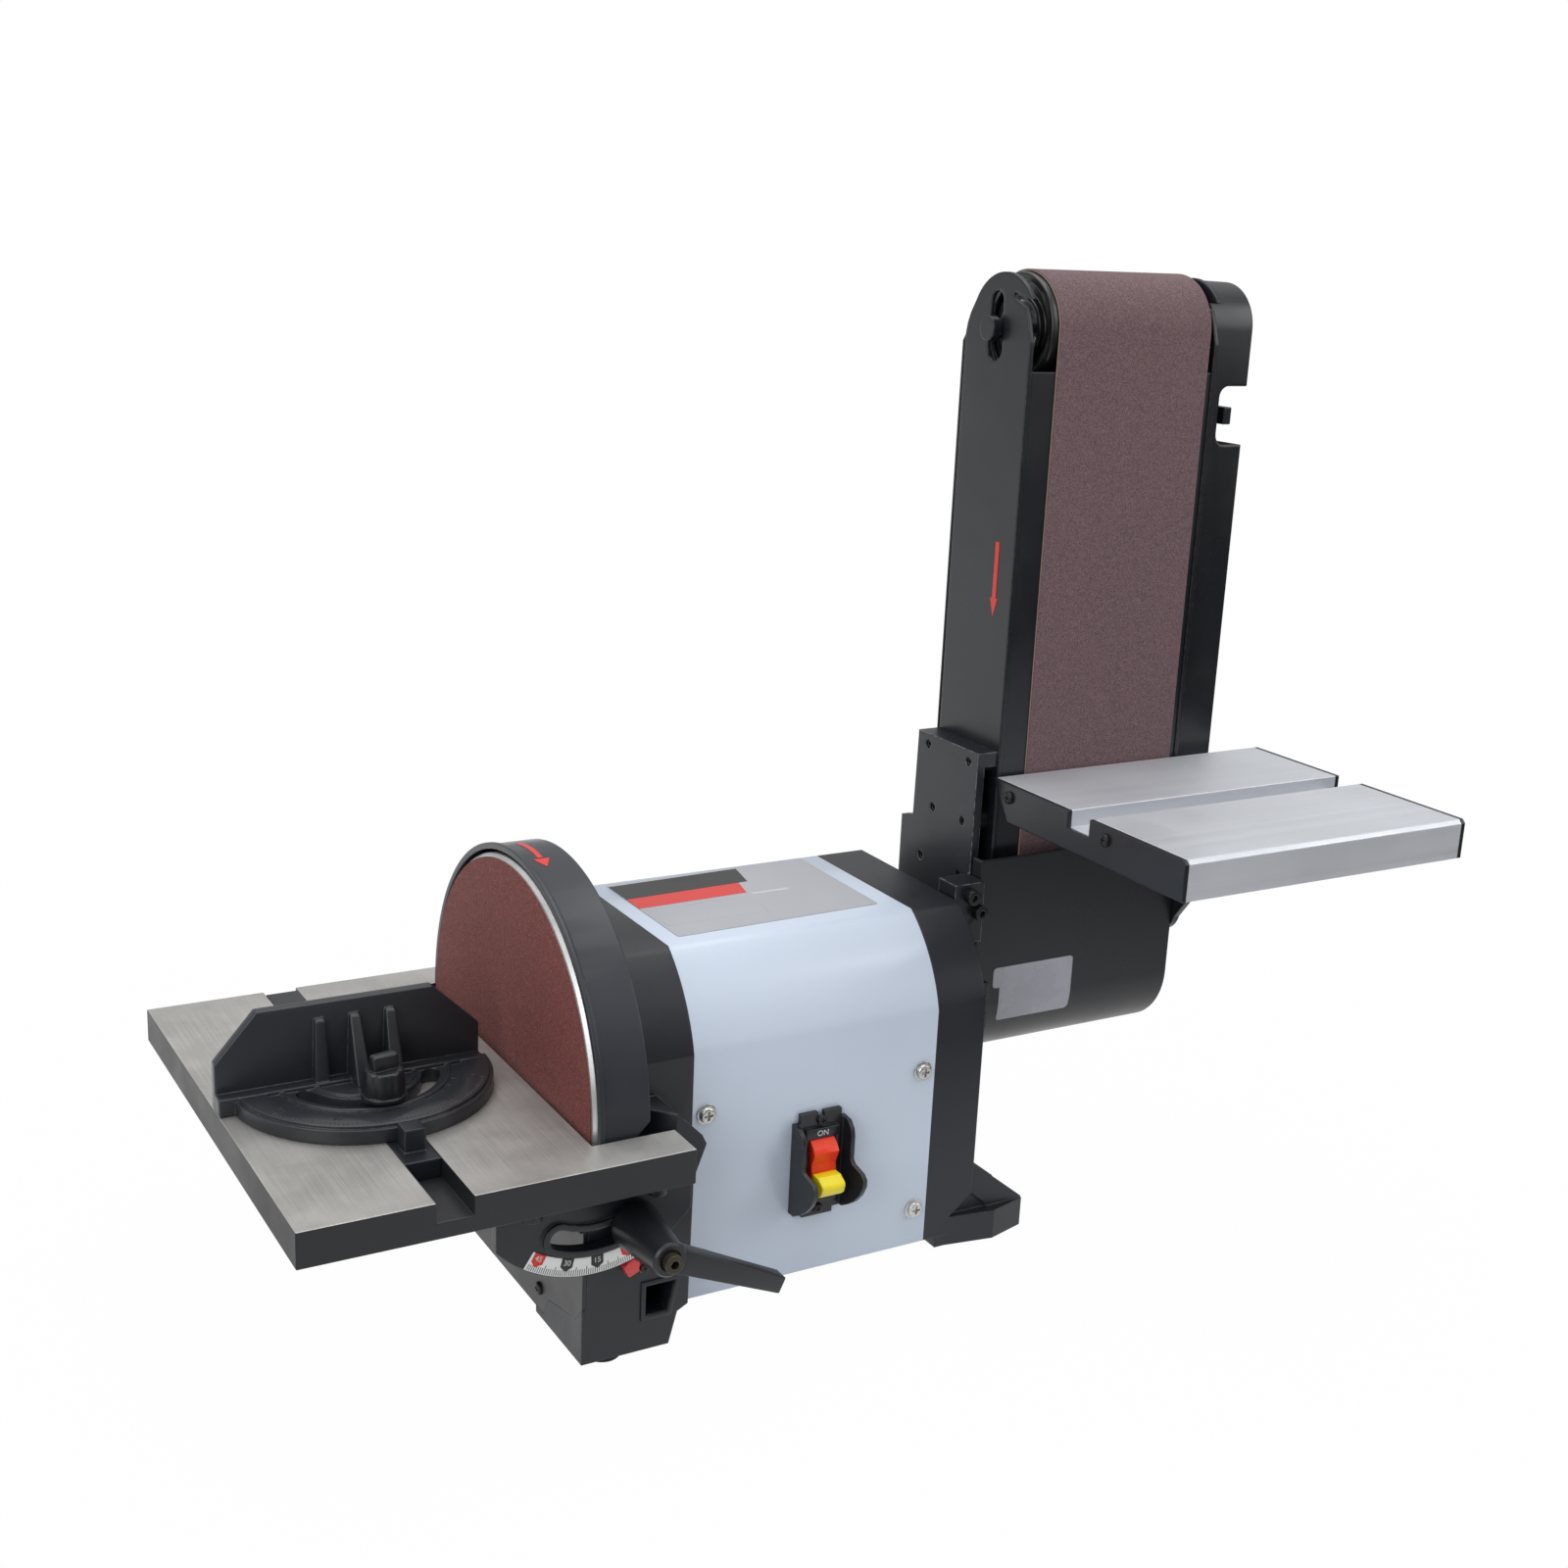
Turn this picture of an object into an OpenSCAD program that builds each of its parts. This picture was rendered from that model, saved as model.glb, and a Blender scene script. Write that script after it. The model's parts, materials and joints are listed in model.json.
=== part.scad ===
// Bench belt and disc sander: one motor turns a sanding disc at its left end and the drive drum of a
// sanding belt at its right end. Sizes are millimetres. Every part is drawn with the motor's axis along X
// and the disc's sanding face at x = 0, then moved onto the bench, with the origin on the bench at the
// middle of the four bench bolts. -Y is the side where the operator stands.

/* [Disc] */
// Diameter of the sanding disc
disc_d = 203.2; // [195:0.1:205]
// Thickness of the abrasive disc
disc_paper_t = 1; // [0.6:0.1:1.5]
// Width of the rim that the disc plate shows around the abrasive disc
disc_rim = 1.9; // [1:0.1:2.5]
// Thickness of the disc plate
disc_plate_t = 10; // [8:1:11]

/* [Sanding belt] */
// Width of the belt
belt_w = 101.6; // [80:0.1:125]
// Length of the belt's loop
belt_loop = 914.4; // [850:0.1:1000]
// Thickness of the belt
belt_t = 1; // [0.8:0.1:1.5]
// Diameter of the drive drum and the idler drum
drum_d = 58.7; // [50:0.1:60]

/* [Motor housing] */
// Height of the motor's axis above the bench
axis_h = 121; // [118:1:140]
// Radius of the housing's shoulders around the axis
body_arc_r = 82.8; // [81:0.1:90]
// Half the width of the housing
body_half = 80; // [78:0.5:81]
// Height of the housing's flat top above the axis
body_top = 67; // [66:0.5:70]
// Depth of the housing's lower edge below the axis
body_drop = 111; // [105:1:112]
// Length of the sheet cover between the castings
cover_len = 142.5; // [135:0.5:170]
// Thickness of the sheet cover
cover_t = 1.5; // [1:0.1:2]
// Wall of the castings
wall = 6; // [5:0.5:7]
// Diameter of the shaft in its bearings
shaft_d = 17; // [15:1:17]
// Outer diameter of the shaft's bearings
bearing_od = 40; // [35:1:42]
// Width of the shaft's bearings
bearing_w = 12; // [10:1:12]

/* [Pedestal and feet] */
// Half the width of the pedestal
ped_half = 103; // [98:0.5:103]
// Thickness of the rubber feet
foot_t = 3.5; // [3:0.5:6]
// Diameter of the bench bolt holes
bench_hole_d = 8.5; // [7:0.5:9]
// Distance between the bench bolts across the machine
bench_bolt_y = 124; // [116:1:126]

/* [Disc table] */
// Depth of the table, from front to back
table_y = 265; // [250:1:300]
// Distance of the table's outer edge from the disc
table_reach = 147.3; // [135:0.1:180]
// How far the table's ears reach past the disc's face
table_ear_x = 39.7; // [34:0.1:42]
// Thickness of the table
table_t = 17.4; // [15:0.1:18]
// Width of the miter slot
miter_slot_w = 17.4; // [15:0.1:20]
// Depth of the miter slot
miter_slot_d = 9.5; // [8:0.1:10]
// Distance of the miter slot's middle from the disc
miter_slot_x = 77.2; // [74:0.1:90]
// Radius of the tilt trunnions around the tilt axis
trunnion_r = 66; // [64:0.5:70]
// Middle radius of the trunnions' lock slots
trunnion_slot_r = 47.5; // [46:0.5:49]
// Largest tilt of the disc table
table_tilt = 45; // [30:1:45]

/* [Belt table] */
// Width of the belt table
belt_table_x = 188.6; // [170:0.1:200]
// Depth of the belt table
belt_table_y = 156.7; // [130:0.1:180]
// Thickness of the belt table
belt_table_t = 21; // [18:0.5:24]
// Height of the belt table's top above the motor's axis
belt_table_z = 128.3; // [124:0.1:132]
// Largest tilt of the belt table
belt_table_tilt = 45; // [30:1:45]

/* [Clearances] */
// Radial clearance of a shaft that turns in a bore
run_fit = 0.05; // [0.02:0.01:0.1]
// Gap between the belt and the drums
belt_gap = 0.3; // [0.3:0.05:0.5]
// Gap between flat faces that slide past each other
slide_gap = 0.3; // [0.2:0.05:0.5]

/* [Hidden] */
$fn = 72;

// Colours
CAST = [0.17, 0.18, 0.20];
STEEL = [0.13, 0.14, 0.15];
PALE = [0.75, 0.79, 0.84];
ALU = [0.75, 0.77, 0.78];
IRON = [0.58, 0.57, 0.55];
GRIT = [0.42, 0.29, 0.29];
PLASTIC = [0.10, 0.10, 0.11];
ZINC = [0.70, 0.71, 0.72];

// Stations along the motor's axis
bell_x = 28;
bell_len = 36.5;
cover_x0 = bell_x + bell_len;
cover_x1 = cover_x0 + cover_len;
right_x1 = cover_x1 + 30;
right_wall_x = right_x1 - wall;
boss_x1 = right_x1 + 10;
bracket_x0 = right_x1 + 20;
frame_x0 = bracket_x0 + 13;
sheet_t = 2.5;
belt_x0 = frame_x0 + 18.5;
belt_x1 = belt_x0 + belt_w;
flange_x0 = belt_x1 + 3.5;
flange_x1 = flange_x0 + sheet_t;
guard_x0 = flange_x1 + 2.6;
guard_x1 = guard_x0 + 29.3;

// Bench bolts
ped_bolt_x = 40;
foot_bolt_x = right_x1 + 20;
bolt_mid_x = (ped_bolt_x + foot_bolt_x) / 2;
cast_bottom = -axis_h + foot_t;

// Disc and its chamber
disc_r = disc_d / 2;
plate_r = disc_r + disc_rim;
chamber_r = plate_r + 3;
guard_in_r = plate_r + 1.8;
guard_r = guard_in_r + 2.2;
notch_half = max(guard_r, ped_half) + 2;
hub_bore_r = 8;
shaft_r = shaft_d / 2;
core_r = 10;

// Drums and belt
drum_r = drum_d / 2;
belt_in_r = drum_r + belt_gap;
belt_out_r = belt_in_r + belt_t;
idler_z = (belt_loop - PI * (belt_in_r + belt_out_r)) / 2;
platen_t = 2.25;
web_t = 2;

// Moves everything from the motor's axis onto the bench
module machine() {
    translate([-bolt_mid_x, 0, axis_h]) children();
}

// Extrudes a drawing of (y, z) from x0 to x1
module along_x(x0, x1) {
    translate([x0, 0, 0]) rotate([90, 0, 90]) linear_extrude(x1 - x0) children();
}

// Extrudes a drawing of (x, z) from y0 to y1
module along_y(y0, y1) {
    translate([0, y1, 0]) rotate([90, 0, 0]) linear_extrude(y1 - y0) children();
}

module rod_x(x0, x1, r, y = 0, z = 0) {
    translate([x0, y, z]) rotate([0, 90, 0]) cylinder(h = x1 - x0, r = r);
}

module rod_y(y0, y1, r, x = 0, z = 0) {
    translate([x, y1, z]) rotate([90, 0, 0]) cylinder(h = y1 - y0, r = r);
}

module rod_z(z0, z1, r, x = 0, y = 0) {
    translate([x, y, z0]) cylinder(h = z1 - z0, r = r);
}

module box(x0, x1, y0, y1, z0, z1) {
    translate([x0, y0, z0]) cube([x1 - x0, y1 - y0, z1 - z0]);
}

// Draws its children at the front and again at the back
module front_and_back() {
    children();
    mirror([0, 1, 0]) children();
}

// Housing outline in (y, z): upright sides, round shoulders and a flat top
module body_section(inset = 0, bottom = body_drop) {
    half = body_half - inset;
    intersection() {
        union() {
            circle(r = body_arc_r - inset);
            translate([-half, -bottom]) square([2 * half, bottom]);
        }
        translate([-half, -bottom]) square([2 * half, bottom + body_top - inset]);
    }
}

// Wedge from angle a0 to a1, measured from straight down towards +X
module wedge(r, a0, a1) {
    polygon(concat([[0, 0]], [for (i = [0:8]) let (a = a0 + (a1 - a0) * i / 8) [r * sin(a), -r * cos(a)]]));
}

// Ring sector between two radii
module sector(r0, r1, a0, a1) {
    intersection() {
        difference() {
            circle(r = r1);
            circle(r = r0);
        }
        wedge(2 * r1, a0, a1);
    }
}

// Curved slot around the origin, round at both ends
module arc_slot(r, half, a0, a1) {
    sector(r - half, r + half, a0, a1);
    for (a = [a0, a1]) translate([r * sin(a), -r * cos(a)]) circle(r = half - 0.05);
}

// ---- Left casting ----

rebate_t = 2.2;
ped_x0 = -3;
pocket_floor = 18.5;
pocket_inner = bench_bolt_y / 2 - 12;

// Side view of the pedestal in (x, z), with the ear beside the table
module pedestal_side() {
    polygon([[ped_x0, cast_bottom], [43.3, cast_bottom], [47.6, cast_bottom + 16.5],
        [53.3, cast_bottom + 19.5], [54.2, -31.8], [60.6, -14.5], [58.1, -9.4], [44.3, 4], [ped_x0, 4]]);
}

module pocket_side(grow = 0) {
    polygon([[30 - grow, cast_bottom + pocket_floor - grow], [42 + grow, cast_bottom + pocket_floor - grow],
        [46 + grow, cast_bottom + pocket_floor + 16 + grow],
        [30 - grow, cast_bottom + pocket_floor + 16 + grow]]);
}

// Lower disc cover's outline in (y, z), cut away over the feet
module disc_cover_outline(inset = 0) {
    half = ped_half - inset;
    low = -chamber_r - 7 + inset;
    shoulder = -chamber_r + 18.5;
    polygon([[-half, -30 - inset], [half, -30 - inset], [half, shoulder], [half - 7, shoulder - 8],
        [64, low + 11], [58, low], [-58, low], [-64, low + 11], [-half + 7, shoulder - 8],
        [-half, shoulder]]);
}

module left_casting() color(CAST) machine() {
    bearing_x0 = bell_x + 12;
    difference() {
        union() {
            along_x(bell_x, cover_x0) body_section();
            along_y(-ped_half, ped_half) pedestal_side();
        }
        // inside of the bell, around the bolt pockets
        difference() {
            along_x(bell_x + wall, cover_x0 + 1) body_section(5, body_drop - 5);
            front_and_back() along_y(-body_half, -pocket_inner + 4) pocket_side(4);
        }
        // disc chamber, open where the table swings
        rod_x(ped_x0 - 1, bell_x, chamber_r);
        box(ped_x0 - 1, bell_x, -ped_half - 1, ped_half + 1, -30, 5);
        // ears slant back beside the guard
        front_and_back() translate([0, 0, -20]) linear_extrude(30)
            polygon([[0, -59], [44.1, -59 - 44.1], [44.1, -ped_half - 5], [0, -ped_half - 5]]);
        // recess for the lower disc cover
        along_x(ped_x0 - 1, ped_x0 + rebate_t) disc_cover_outline();
        // arch between the feet
        box(ped_x0 - 1, cover_x0 + 1, -48, 48, cast_bottom - 1, cast_bottom + 3.5);
        front_and_back() {
            along_y(-ped_half - 1, -pocket_inner) pocket_side();
            rod_z(cast_bottom - 1, cast_bottom + pocket_floor + 1, bench_hole_d / 2, ped_bolt_x,
                -bench_bolt_y / 2);
            // bore for the table lock
            rod_y(-ped_half - 1, -ped_half + 5.5, lock_stud_r + run_fit, lock_x, lock_z);
        }
        rod_x(bell_x - 1, cover_x0, core_r + 0.5);
        // duct to the dust port
        rod_y(45, ped_half + 1, port_r - 1.5, port_x, port_z);
    }
    // bearing seat
    difference() {
        rod_x(bell_x + wall, bearing_x0 + bearing_w, bearing_od / 2 + 7);
        rod_x(bell_x + wall - 1, bearing_x0, core_r + 0.5);
        rod_x(bearing_x0, bearing_x0 + bearing_w + 1, bearing_od / 2);
    }
    // lip inside the sheet cover
    difference() {
        along_x(cover_x0, cover_x0 + 12) body_section(cover_t, body_drop - cover_t);
        along_x(cover_x0 - 1, cover_x0 + 13) body_section(cover_t + 3.5, body_drop - cover_t - 3.5);
    }
}

port_x = 14;
port_z = -86;
port_r = 14;

module disc_dust_port() color(PLASTIC) machine() {
    difference() {
        rod_y(ped_half, ped_half + 30, port_r + 3, port_x, port_z);
        rod_y(ped_half - 1, ped_half + 31, port_r, port_x, port_z);
    }
}

module disc_cover() color(STEEL) machine() {
    difference() {
        along_x(ped_x0, ped_x0 + rebate_t) disc_cover_outline(slide_gap / 3);
        for (p = cover_plate_screws) rod_x(ped_x0 - 1, 0, 1.6, p[0], p[1]);
    }
}

cover_plate_screws = [for (s = [-1, 1]) each [[s * 52, -chamber_r + 4], [s * (ped_half - 4), -46]]];

module disc_cover_screws() color(ZINC) machine() {
    for (p = cover_plate_screws) {
        rod_x(ped_x0 - 1.6, ped_x0, 3.4, p[0], p[1]);
        rod_x(ped_x0, ped_x0 + rebate_t, 1.6, p[0], p[1]);
    }
}

// ---- Right casting ----

boss_r = 36;
lug_h = 16.5;

// Foot that reaches out past the housing, with a gusset at either side of its bolt
module foot_lug() {
    in_y = -bench_bolt_y / 2 + 16;
    out_x = foot_bolt_x + 16;
    translate([0, 0, cast_bottom]) linear_extrude(lug_h)
        polygon([[cover_x1 + 14, -body_half + 0.5], [right_x1 + 13, -body_half - 4],
            [out_x, -body_half + 2.5], [out_x, in_y], [cover_x1 + 8, in_y],
            [cover_x1 + 8, -body_half + 0.5]]);
    for (y = [-body_half + 2.5, in_y - 4.5]) along_y(y, y + 4.5)
        polygon([[right_x1 - 1, cast_bottom + lug_h - 1], [out_x - 0.5, cast_bottom + lug_h - 1],
            [out_x - 0.5, cast_bottom + lug_h + 1], [right_x1, cast_bottom + lug_h + 29],
            [right_x1 - 1, cast_bottom + lug_h + 29]]);
}

module right_casting() color(CAST) machine() {
    bearing_x1 = right_wall_x - 6;
    difference() {
        union() {
            along_x(cover_x1, right_x1) body_section();
            front_and_back() {
                foot_lug();
                // stops for the belt arm
                for (z = [2, 19]) box(right_x1 - 1, right_x1 + 7, -body_half + 8, -body_half + 18, z, z + 9);
            }
        }
        along_x(cover_x1 - 1, right_wall_x) body_section(5, body_drop - 5);
        front_and_back() {
            // recess over the foot
            along_y(-body_half - 6, -body_half + 3.5)
                polygon([[cover_x1 + 15.5, cast_bottom + lug_h], [right_x1 + 12.5, cast_bottom + lug_h],
                    [right_x1, cast_bottom + lug_h + 11.5]]);
            rod_z(cast_bottom - 1, -70, bench_hole_d / 2, foot_bolt_x, -bench_bolt_y / 2);
            rod_z(cast_bottom + 10, -70, 9.5, foot_bolt_x, -bench_bolt_y / 2);
        }
        rod_x(right_wall_x - 1, right_x1 + 1, core_r + 0.5);
    }
    difference() {
        union() {
            rod_x(bearing_x1 - bearing_w, right_wall_x, bearing_od / 2 + 7);
            rod_x(right_x1, boss_x1, boss_r);
        }
        rod_x(bearing_x1 - bearing_w - 1, bearing_x1, bearing_od / 2);
        rod_x(bearing_x1 - 1, boss_x1 + 1, core_r + 0.5);
        for (a = retainer_screw_angles) rod_x(boss_x1 - 8, boss_x1 + 1, 2.4, 26 * cos(a), 26 * sin(a));
    }
    difference() {
        along_x(cover_x1 - 12, cover_x1) body_section(cover_t, body_drop - cover_t);
        along_x(cover_x1 - 13, cover_x1 + 1) body_section(cover_t + 3.5, body_drop - cover_t - 3.5);
    }
}

retainer_screw_angles = [90, 210, 330];

// Ring that keeps the belt arm on its pivot boss
module arm_retainer() color(ZINC) machine() {
    difference() {
        rod_x(boss_x1, boss_x1 + 3, boss_r + 4);
        rod_x(boss_x1 - 1, boss_x1 + 4, core_r + 2);
    }
    for (a = retainer_screw_angles) {
        rod_x(boss_x1 + 3, boss_x1 + 6, 4.2, 26 * cos(a), 26 * sin(a));
        rod_x(boss_x1 - 8, boss_x1, 2.4, 26 * cos(a), 26 * sin(a));
    }
}

module rubber_feet() color(PLASTIC) machine() {
    front_and_back() {
        rod_z(-axis_h, cast_bottom, 9, 13, -ped_half + 11);
        for (x = [ped_bolt_x, foot_bolt_x]) difference() {
            rod_z(-axis_h, cast_bottom, 11.5, x, -bench_bolt_y / 2);
            rod_z(-axis_h - 1, cast_bottom + 1, bench_hole_d / 2, x, -bench_bolt_y / 2);
        }
    }
}

// ---- Motor housing ----

switch_x = cover_x0 + 72.5;
switch_z = -54;
cover_screw_places = [for (x = [cover_x0 + 7.5, cover_x1 - 8]) for (z = [-11, -90]) [x, z]];

module motor_cover() color(PALE) machine() {
    difference() {
        along_x(cover_x0, cover_x1) body_section();
        along_x(cover_x0 - 1, cover_x1 + 1) body_section(cover_t, body_drop + 1);
        box(switch_x - 14, switch_x + 14, -body_half - 1, -body_half + 5, switch_z - 20, switch_z + 25);
        front_and_back() for (p = cover_screw_places) rod_y(-body_half - 1, -body_half + 5, 2.5, p[0], p[1]);
    }
}

module cover_screws() color(ZINC) machine() {
    front_and_back() for (p = cover_screw_places) {
        rod_y(-body_half - 2.6, -body_half, 4.6, p[0], p[1]);
        rod_y(-body_half, -body_half + cover_t, 2.5, p[0], p[1]);
    }
}

module bottom_plate() color(STEEL) machine() {
    half = body_half - cover_t;
    difference() {
        box(cover_x0, cover_x1, -half, half, -body_drop, -body_drop + cover_t);
        for (i = [0:5]) for (s = [-1, 1])
            box(cover_x0 + 34 + 12 * i, cover_x0 + 39 + 12 * i, s * 45 - 14, s * 45 + 14, -body_drop - 1,
                -body_drop + cover_t + 1);
    }
}

core_x0 = cover_x0 + 35.5;
core_x1 = core_x0 + 60;
stator_bore_r = 36.3;
stator_bolt_r = 57;

module stator_bolt_places() {
    for (a = [45:90:315]) translate([0, stator_bolt_r * cos(a), stator_bolt_r * sin(a)]) children();
}

module motor_stator() color(ZINC) machine() {
    difference() {
        rod_x(core_x0, core_x1, 63);
        rod_x(core_x0 - 1, core_x1 + 1, stator_bore_r);
        stator_bolt_places() rod_x(core_x0 - 1, core_x1 + 1, 2.5);
    }
}

module stator_windings() color([0.72, 0.38, 0.2]) machine() {
    for (x = [core_x0 - 15, core_x1]) difference() {
        rod_x(x, x + 15, 53);
        rod_x(x - 1, x + 16, 40);
    }
}

module stator_bolts() color(ZINC) machine() {
    stator_bolt_places() rod_x(bell_x + wall, right_wall_x, 2.5);
}

module shaft_bearings() color(ZINC) machine() {
    for (x = [bell_x + 12, right_wall_x - 6 - bearing_w]) difference() {
        rod_x(x, x + bearing_w, bearing_od / 2);
        rod_x(x - 1, x + bearing_w + 1, shaft_r + run_fit / 2);
    }
}

module run_capacitor() color(PLASTIC) machine() {
    rod_x(cover_x0 + 25, cover_x0 + 95, 17, 40, -body_drop + cover_t + 17);
}

module cable_gland() color(PLASTIC) machine() {
    x = right_x1 - 14;
    difference() {
        union() {
            rod_y(body_half, body_half + 6, 11, x, -88);
            rod_y(body_half + 6, body_half + 20, 8, x, -88);
        }
        rod_y(body_half + 2, body_half + 21, 4, x, -88);
    }
}

// ---- Switch ----

recess_half = 8;
recess_low = switch_z - 14;
recess_high = switch_z + 23;
paddle_y = -body_half + 4;
paddle_z = switch_z + 4;

// Side guard of the switch in (y, z), deepest beside the key
module switch_cheek() {
    y = -body_half;
    z = switch_z;
    polygon([[y - 1, z + 28], [y - 7, z + 27.5], [y - 10.5, z + 24], [y - 11.5, z + 20],
        [y - 11.5, z + 7.5], [y - 13.5, z + 5.5], [y - 22, z + 4], [y - 25, z + 1.5], [y - 25, z - 2],
        [y - 22, z - 8], [y - 17, z - 13.5], [y - 11, z - 18], [y - 5, z - 21.5], [y - 1, z - 21.5]]);
}

module switch_housing() color(PLASTIC) machine() {
    y = -body_half;
    difference() {
        union() {
            box(switch_x - 15.5, switch_x + 15.5, y - 3, y, switch_z - 21.5, switch_z + 28);
            box(switch_x - 12, switch_x + 12, y - 3, y, switch_z + 27, switch_z + 33);
            box(switch_x - 9, switch_x + 9, y - 3, y, switch_z - 24.5, switch_z - 20);
            box(switch_x - 14, switch_x + 14, y, y + 17.5, switch_z - 20, switch_z + 25);
            for (x = [-15.5, 13.2]) along_x(switch_x + x, switch_x + x + 2.3) switch_cheek();
            // frame round the paddle
            box(switch_x - 9.8, switch_x + 9.8, y - 5, y, switch_z - 16, switch_z + 25);
        }
        box(switch_x - recess_half, switch_x + recess_half, y - 6, y + 16, recess_low, recess_high);
        rod_x(switch_x - recess_half - 2, switch_x + recess_half + 2, 1.5 + run_fit, paddle_y, paddle_z);
        // notch beside the screw
        box(switch_x - 1.8, switch_x + 1.8, y - 4, y + 1, switch_z + 29.5, switch_z + 34);
    }
}

module switch_screws() color(ZINC) machine() {
    for (z = [switch_z - 20.5, switch_z + 28.5]) rod_y(-body_half - 5, -body_half - 3, 2.8, switch_x, z);
}

module switch_paddle() color([0.85, 0.16, 0.12]) machine() {
    y = -body_half;
    z = switch_z;
    half = recess_half - 0.8;
    difference() {
        along_x(switch_x - half, switch_x + half)
            polygon([[y - 3, z + 20.5], [y - 8.6, z + 15.6], [y - 10.2, z + 13.2], [y - 9.5, z + 11],
                [y - 7.8, z + 7.4], [y - 7.4, z + 5.5], [y - 8, z + 2.5], [y - 8, z - 8], [y - 3, z - 11.5],
                [y + 2, z - 11.5], [y + 9, z - 4], [y + 9, z + 7], [y + 1, z + 20.5]]);
        box(switch_x - 3.3, switch_x + 3.3, y - 9, y - 2.7, switch_z - 6.8, switch_z - 1.2);
    }
    rod_x(switch_x - recess_half - 1.5, switch_x + recess_half + 1.5, 1.5, paddle_y, paddle_z);
}

module switch_key() color([0.95, 0.85, 0.1]) machine() {
    y = -body_half;
    z = switch_z;
    along_x(switch_x - 6.9, switch_x + 6.9)
        polygon([[y - 8.1, z + 2], [y - 13.5, z + 2], [y - 18.2, z - 0.8], [y - 18.6, z - 2.5],
            [y - 17.5, z - 6.3], [y - 15.5, z - 8], [y - 8.1, z - 10]]);
    box(switch_x - 3, switch_x + 3, y - 8.1, y - 3, switch_z - 6.5, switch_z - 1.5);
}

// ---- Disc guard, disc and spindle ----

module disc_guard() color(STEEL) machine() {
    difference() {
        union() {
            rod_x(2, bell_x, guard_r);
            rod_x(2, 4.5, guard_r + 1);
        }
        rod_x(1, bell_x - 1.5, guard_in_r);
        rod_x(0, bell_x + 1, 55);
        along_y(-guard_r - 2, guard_r + 2)
            polygon([[0, -3], [bell_x - 8.5, -3], [bell_x + 1, 6.5], [bell_x + 1, -guard_r - 2],
                [0, -guard_r - 2]]);
    }
}

module disc_plate() color(ALU) machine() {
    x0 = disc_paper_t;
    difference() {
        union() {
            translate([x0, 0, 0]) rotate([0, 90, 0]) cylinder(h = 2, r1 = disc_r + 0.2, r2 = plate_r);
            rod_x(x0 + 2, x0 + disc_plate_t, plate_r);
            rod_x(x0 + disc_plate_t, bell_x - 4, 22);
        }
        rod_x(x0 - 1, bell_x, hub_bore_r);
    }
}

module sanding_disc() color([0.45, 0.27, 0.24]) machine() {
    rod_x(0, disc_paper_t, disc_r);
}

module motor_shaft() color(ZINC) machine() {
    left_x = bell_x + 12;
    right_x = right_wall_x - 6;
    rod_x(disc_paper_t, left_x, hub_bore_r);
    rod_x(left_x, left_x + bearing_w, shaft_r);
    rod_x(left_x + bearing_w, right_x - bearing_w, core_r);
    rod_x(right_x - bearing_w, right_x, shaft_r);
    rod_x(right_x, belt_x1 + 2, hub_bore_r);
}

module rotor_core() color(ZINC) machine() {
    difference() {
        union() {
            rod_x(core_x0, core_x1, stator_bore_r - 0.4);
            rod_x(core_x0 - 7, core_x1 + 7, 33);
        }
        rod_x(core_x0 - 8, core_x1 + 8, core_r);
    }
}

fan_blades = 9;

module cooling_fan() color(PLASTIC) machine() {
    x = core_x1 + 24;
    difference() {
        union() {
            rod_x(x, x + 14, 15);
            rod_x(x, x + 2, 50);
            for (i = [1:fan_blades]) rotate([360 * i / fan_blades, 0, 0]) box(x + 2, x + 14, 14, 50, -1, 1);
        }
        rod_x(x - 1, x + 15, core_r);
    }
}

module drive_drum() color(ALU) machine() {
    difference() {
        rod_x(belt_x0 - 2, belt_x1 + 1.5, drum_r);
        rod_x(belt_x0 - 3, belt_x1 + 3, hub_bore_r);
        for (x = [belt_x0 - 3, belt_x1 - 3.5]) difference() {
            rod_x(x, x + 6, drum_r - 5);
            rod_x(x - 1, x + 7, 15);
        }
    }
}

// ---- Belt arm ----

hub_r = 50;
plate_front = -29.4;
plate_top = 141.5;
frame_screw_places = [[18, 135.5], [-21, 135], [10, 101], [-18.4, 101], [19, 70.4], [-18.4, 70]];

module arm_bracket() color(CAST) machine() {
    plate_t = 5;
    difference() {
        union() {
            along_x(right_x1 + 1, bracket_x0) {
                circle(r = hub_r);
                // stop block that holds the two arm screws
                translate([-44, 40]) square([16, 34]);
            }
            along_x(bracket_x0, bracket_x0 + plate_t) bracket_plate();
            // rims and bosses that carry the belt frame
            along_x(bracket_x0 + plate_t, frame_x0) {
                translate([plate_front, plate_top - 8]) square([28 - plate_front, 8]);
                translate([22, 50]) square([6, plate_top - 50]);
                for (p = frame_screw_places) translate(p) circle(r = 6);
                circle(r = 34);
            }
        }
        rod_x(right_x1, boss_x1 + 0.3, boss_r + run_fit);
        rod_x(boss_x1 - slide_gap, bracket_x0, boss_r + 4.5);
        rod_x(bracket_x0 - 1, frame_x0 + 1, 13);
        for (p = frame_screw_places) rod_x(bracket_x0 - 1, frame_x0 + 1, 2.5, p[0], p[1]);
        for (p = arm_screw_places) rod_y(-45, -29.5, 2.5, p[0], p[1]);
    }
}

module bracket_plate() {
    polygon([[plate_front, 0], [plate_front, plate_top], [28, plate_top], [29, 92], [40, 89], [40, 54],
        [36, 48], [33, 0]]);
    circle(r = 34);
}

arm_screw_places = [[bracket_x0 - 9, 67], [bracket_x0 - 3.5, 57.5]];

module arm_screws() color(ZINC) machine() {
    for (p = arm_screw_places) difference() {
        union() {
            rod_y(-49, -44, 4.2, p[0], p[1]);
            rod_y(-44, -29.5, 2.5, p[0], p[1]);
        }
        rod_y(-50, -46, 2, p[0], p[1], $fn = 6);
    }
}

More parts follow.
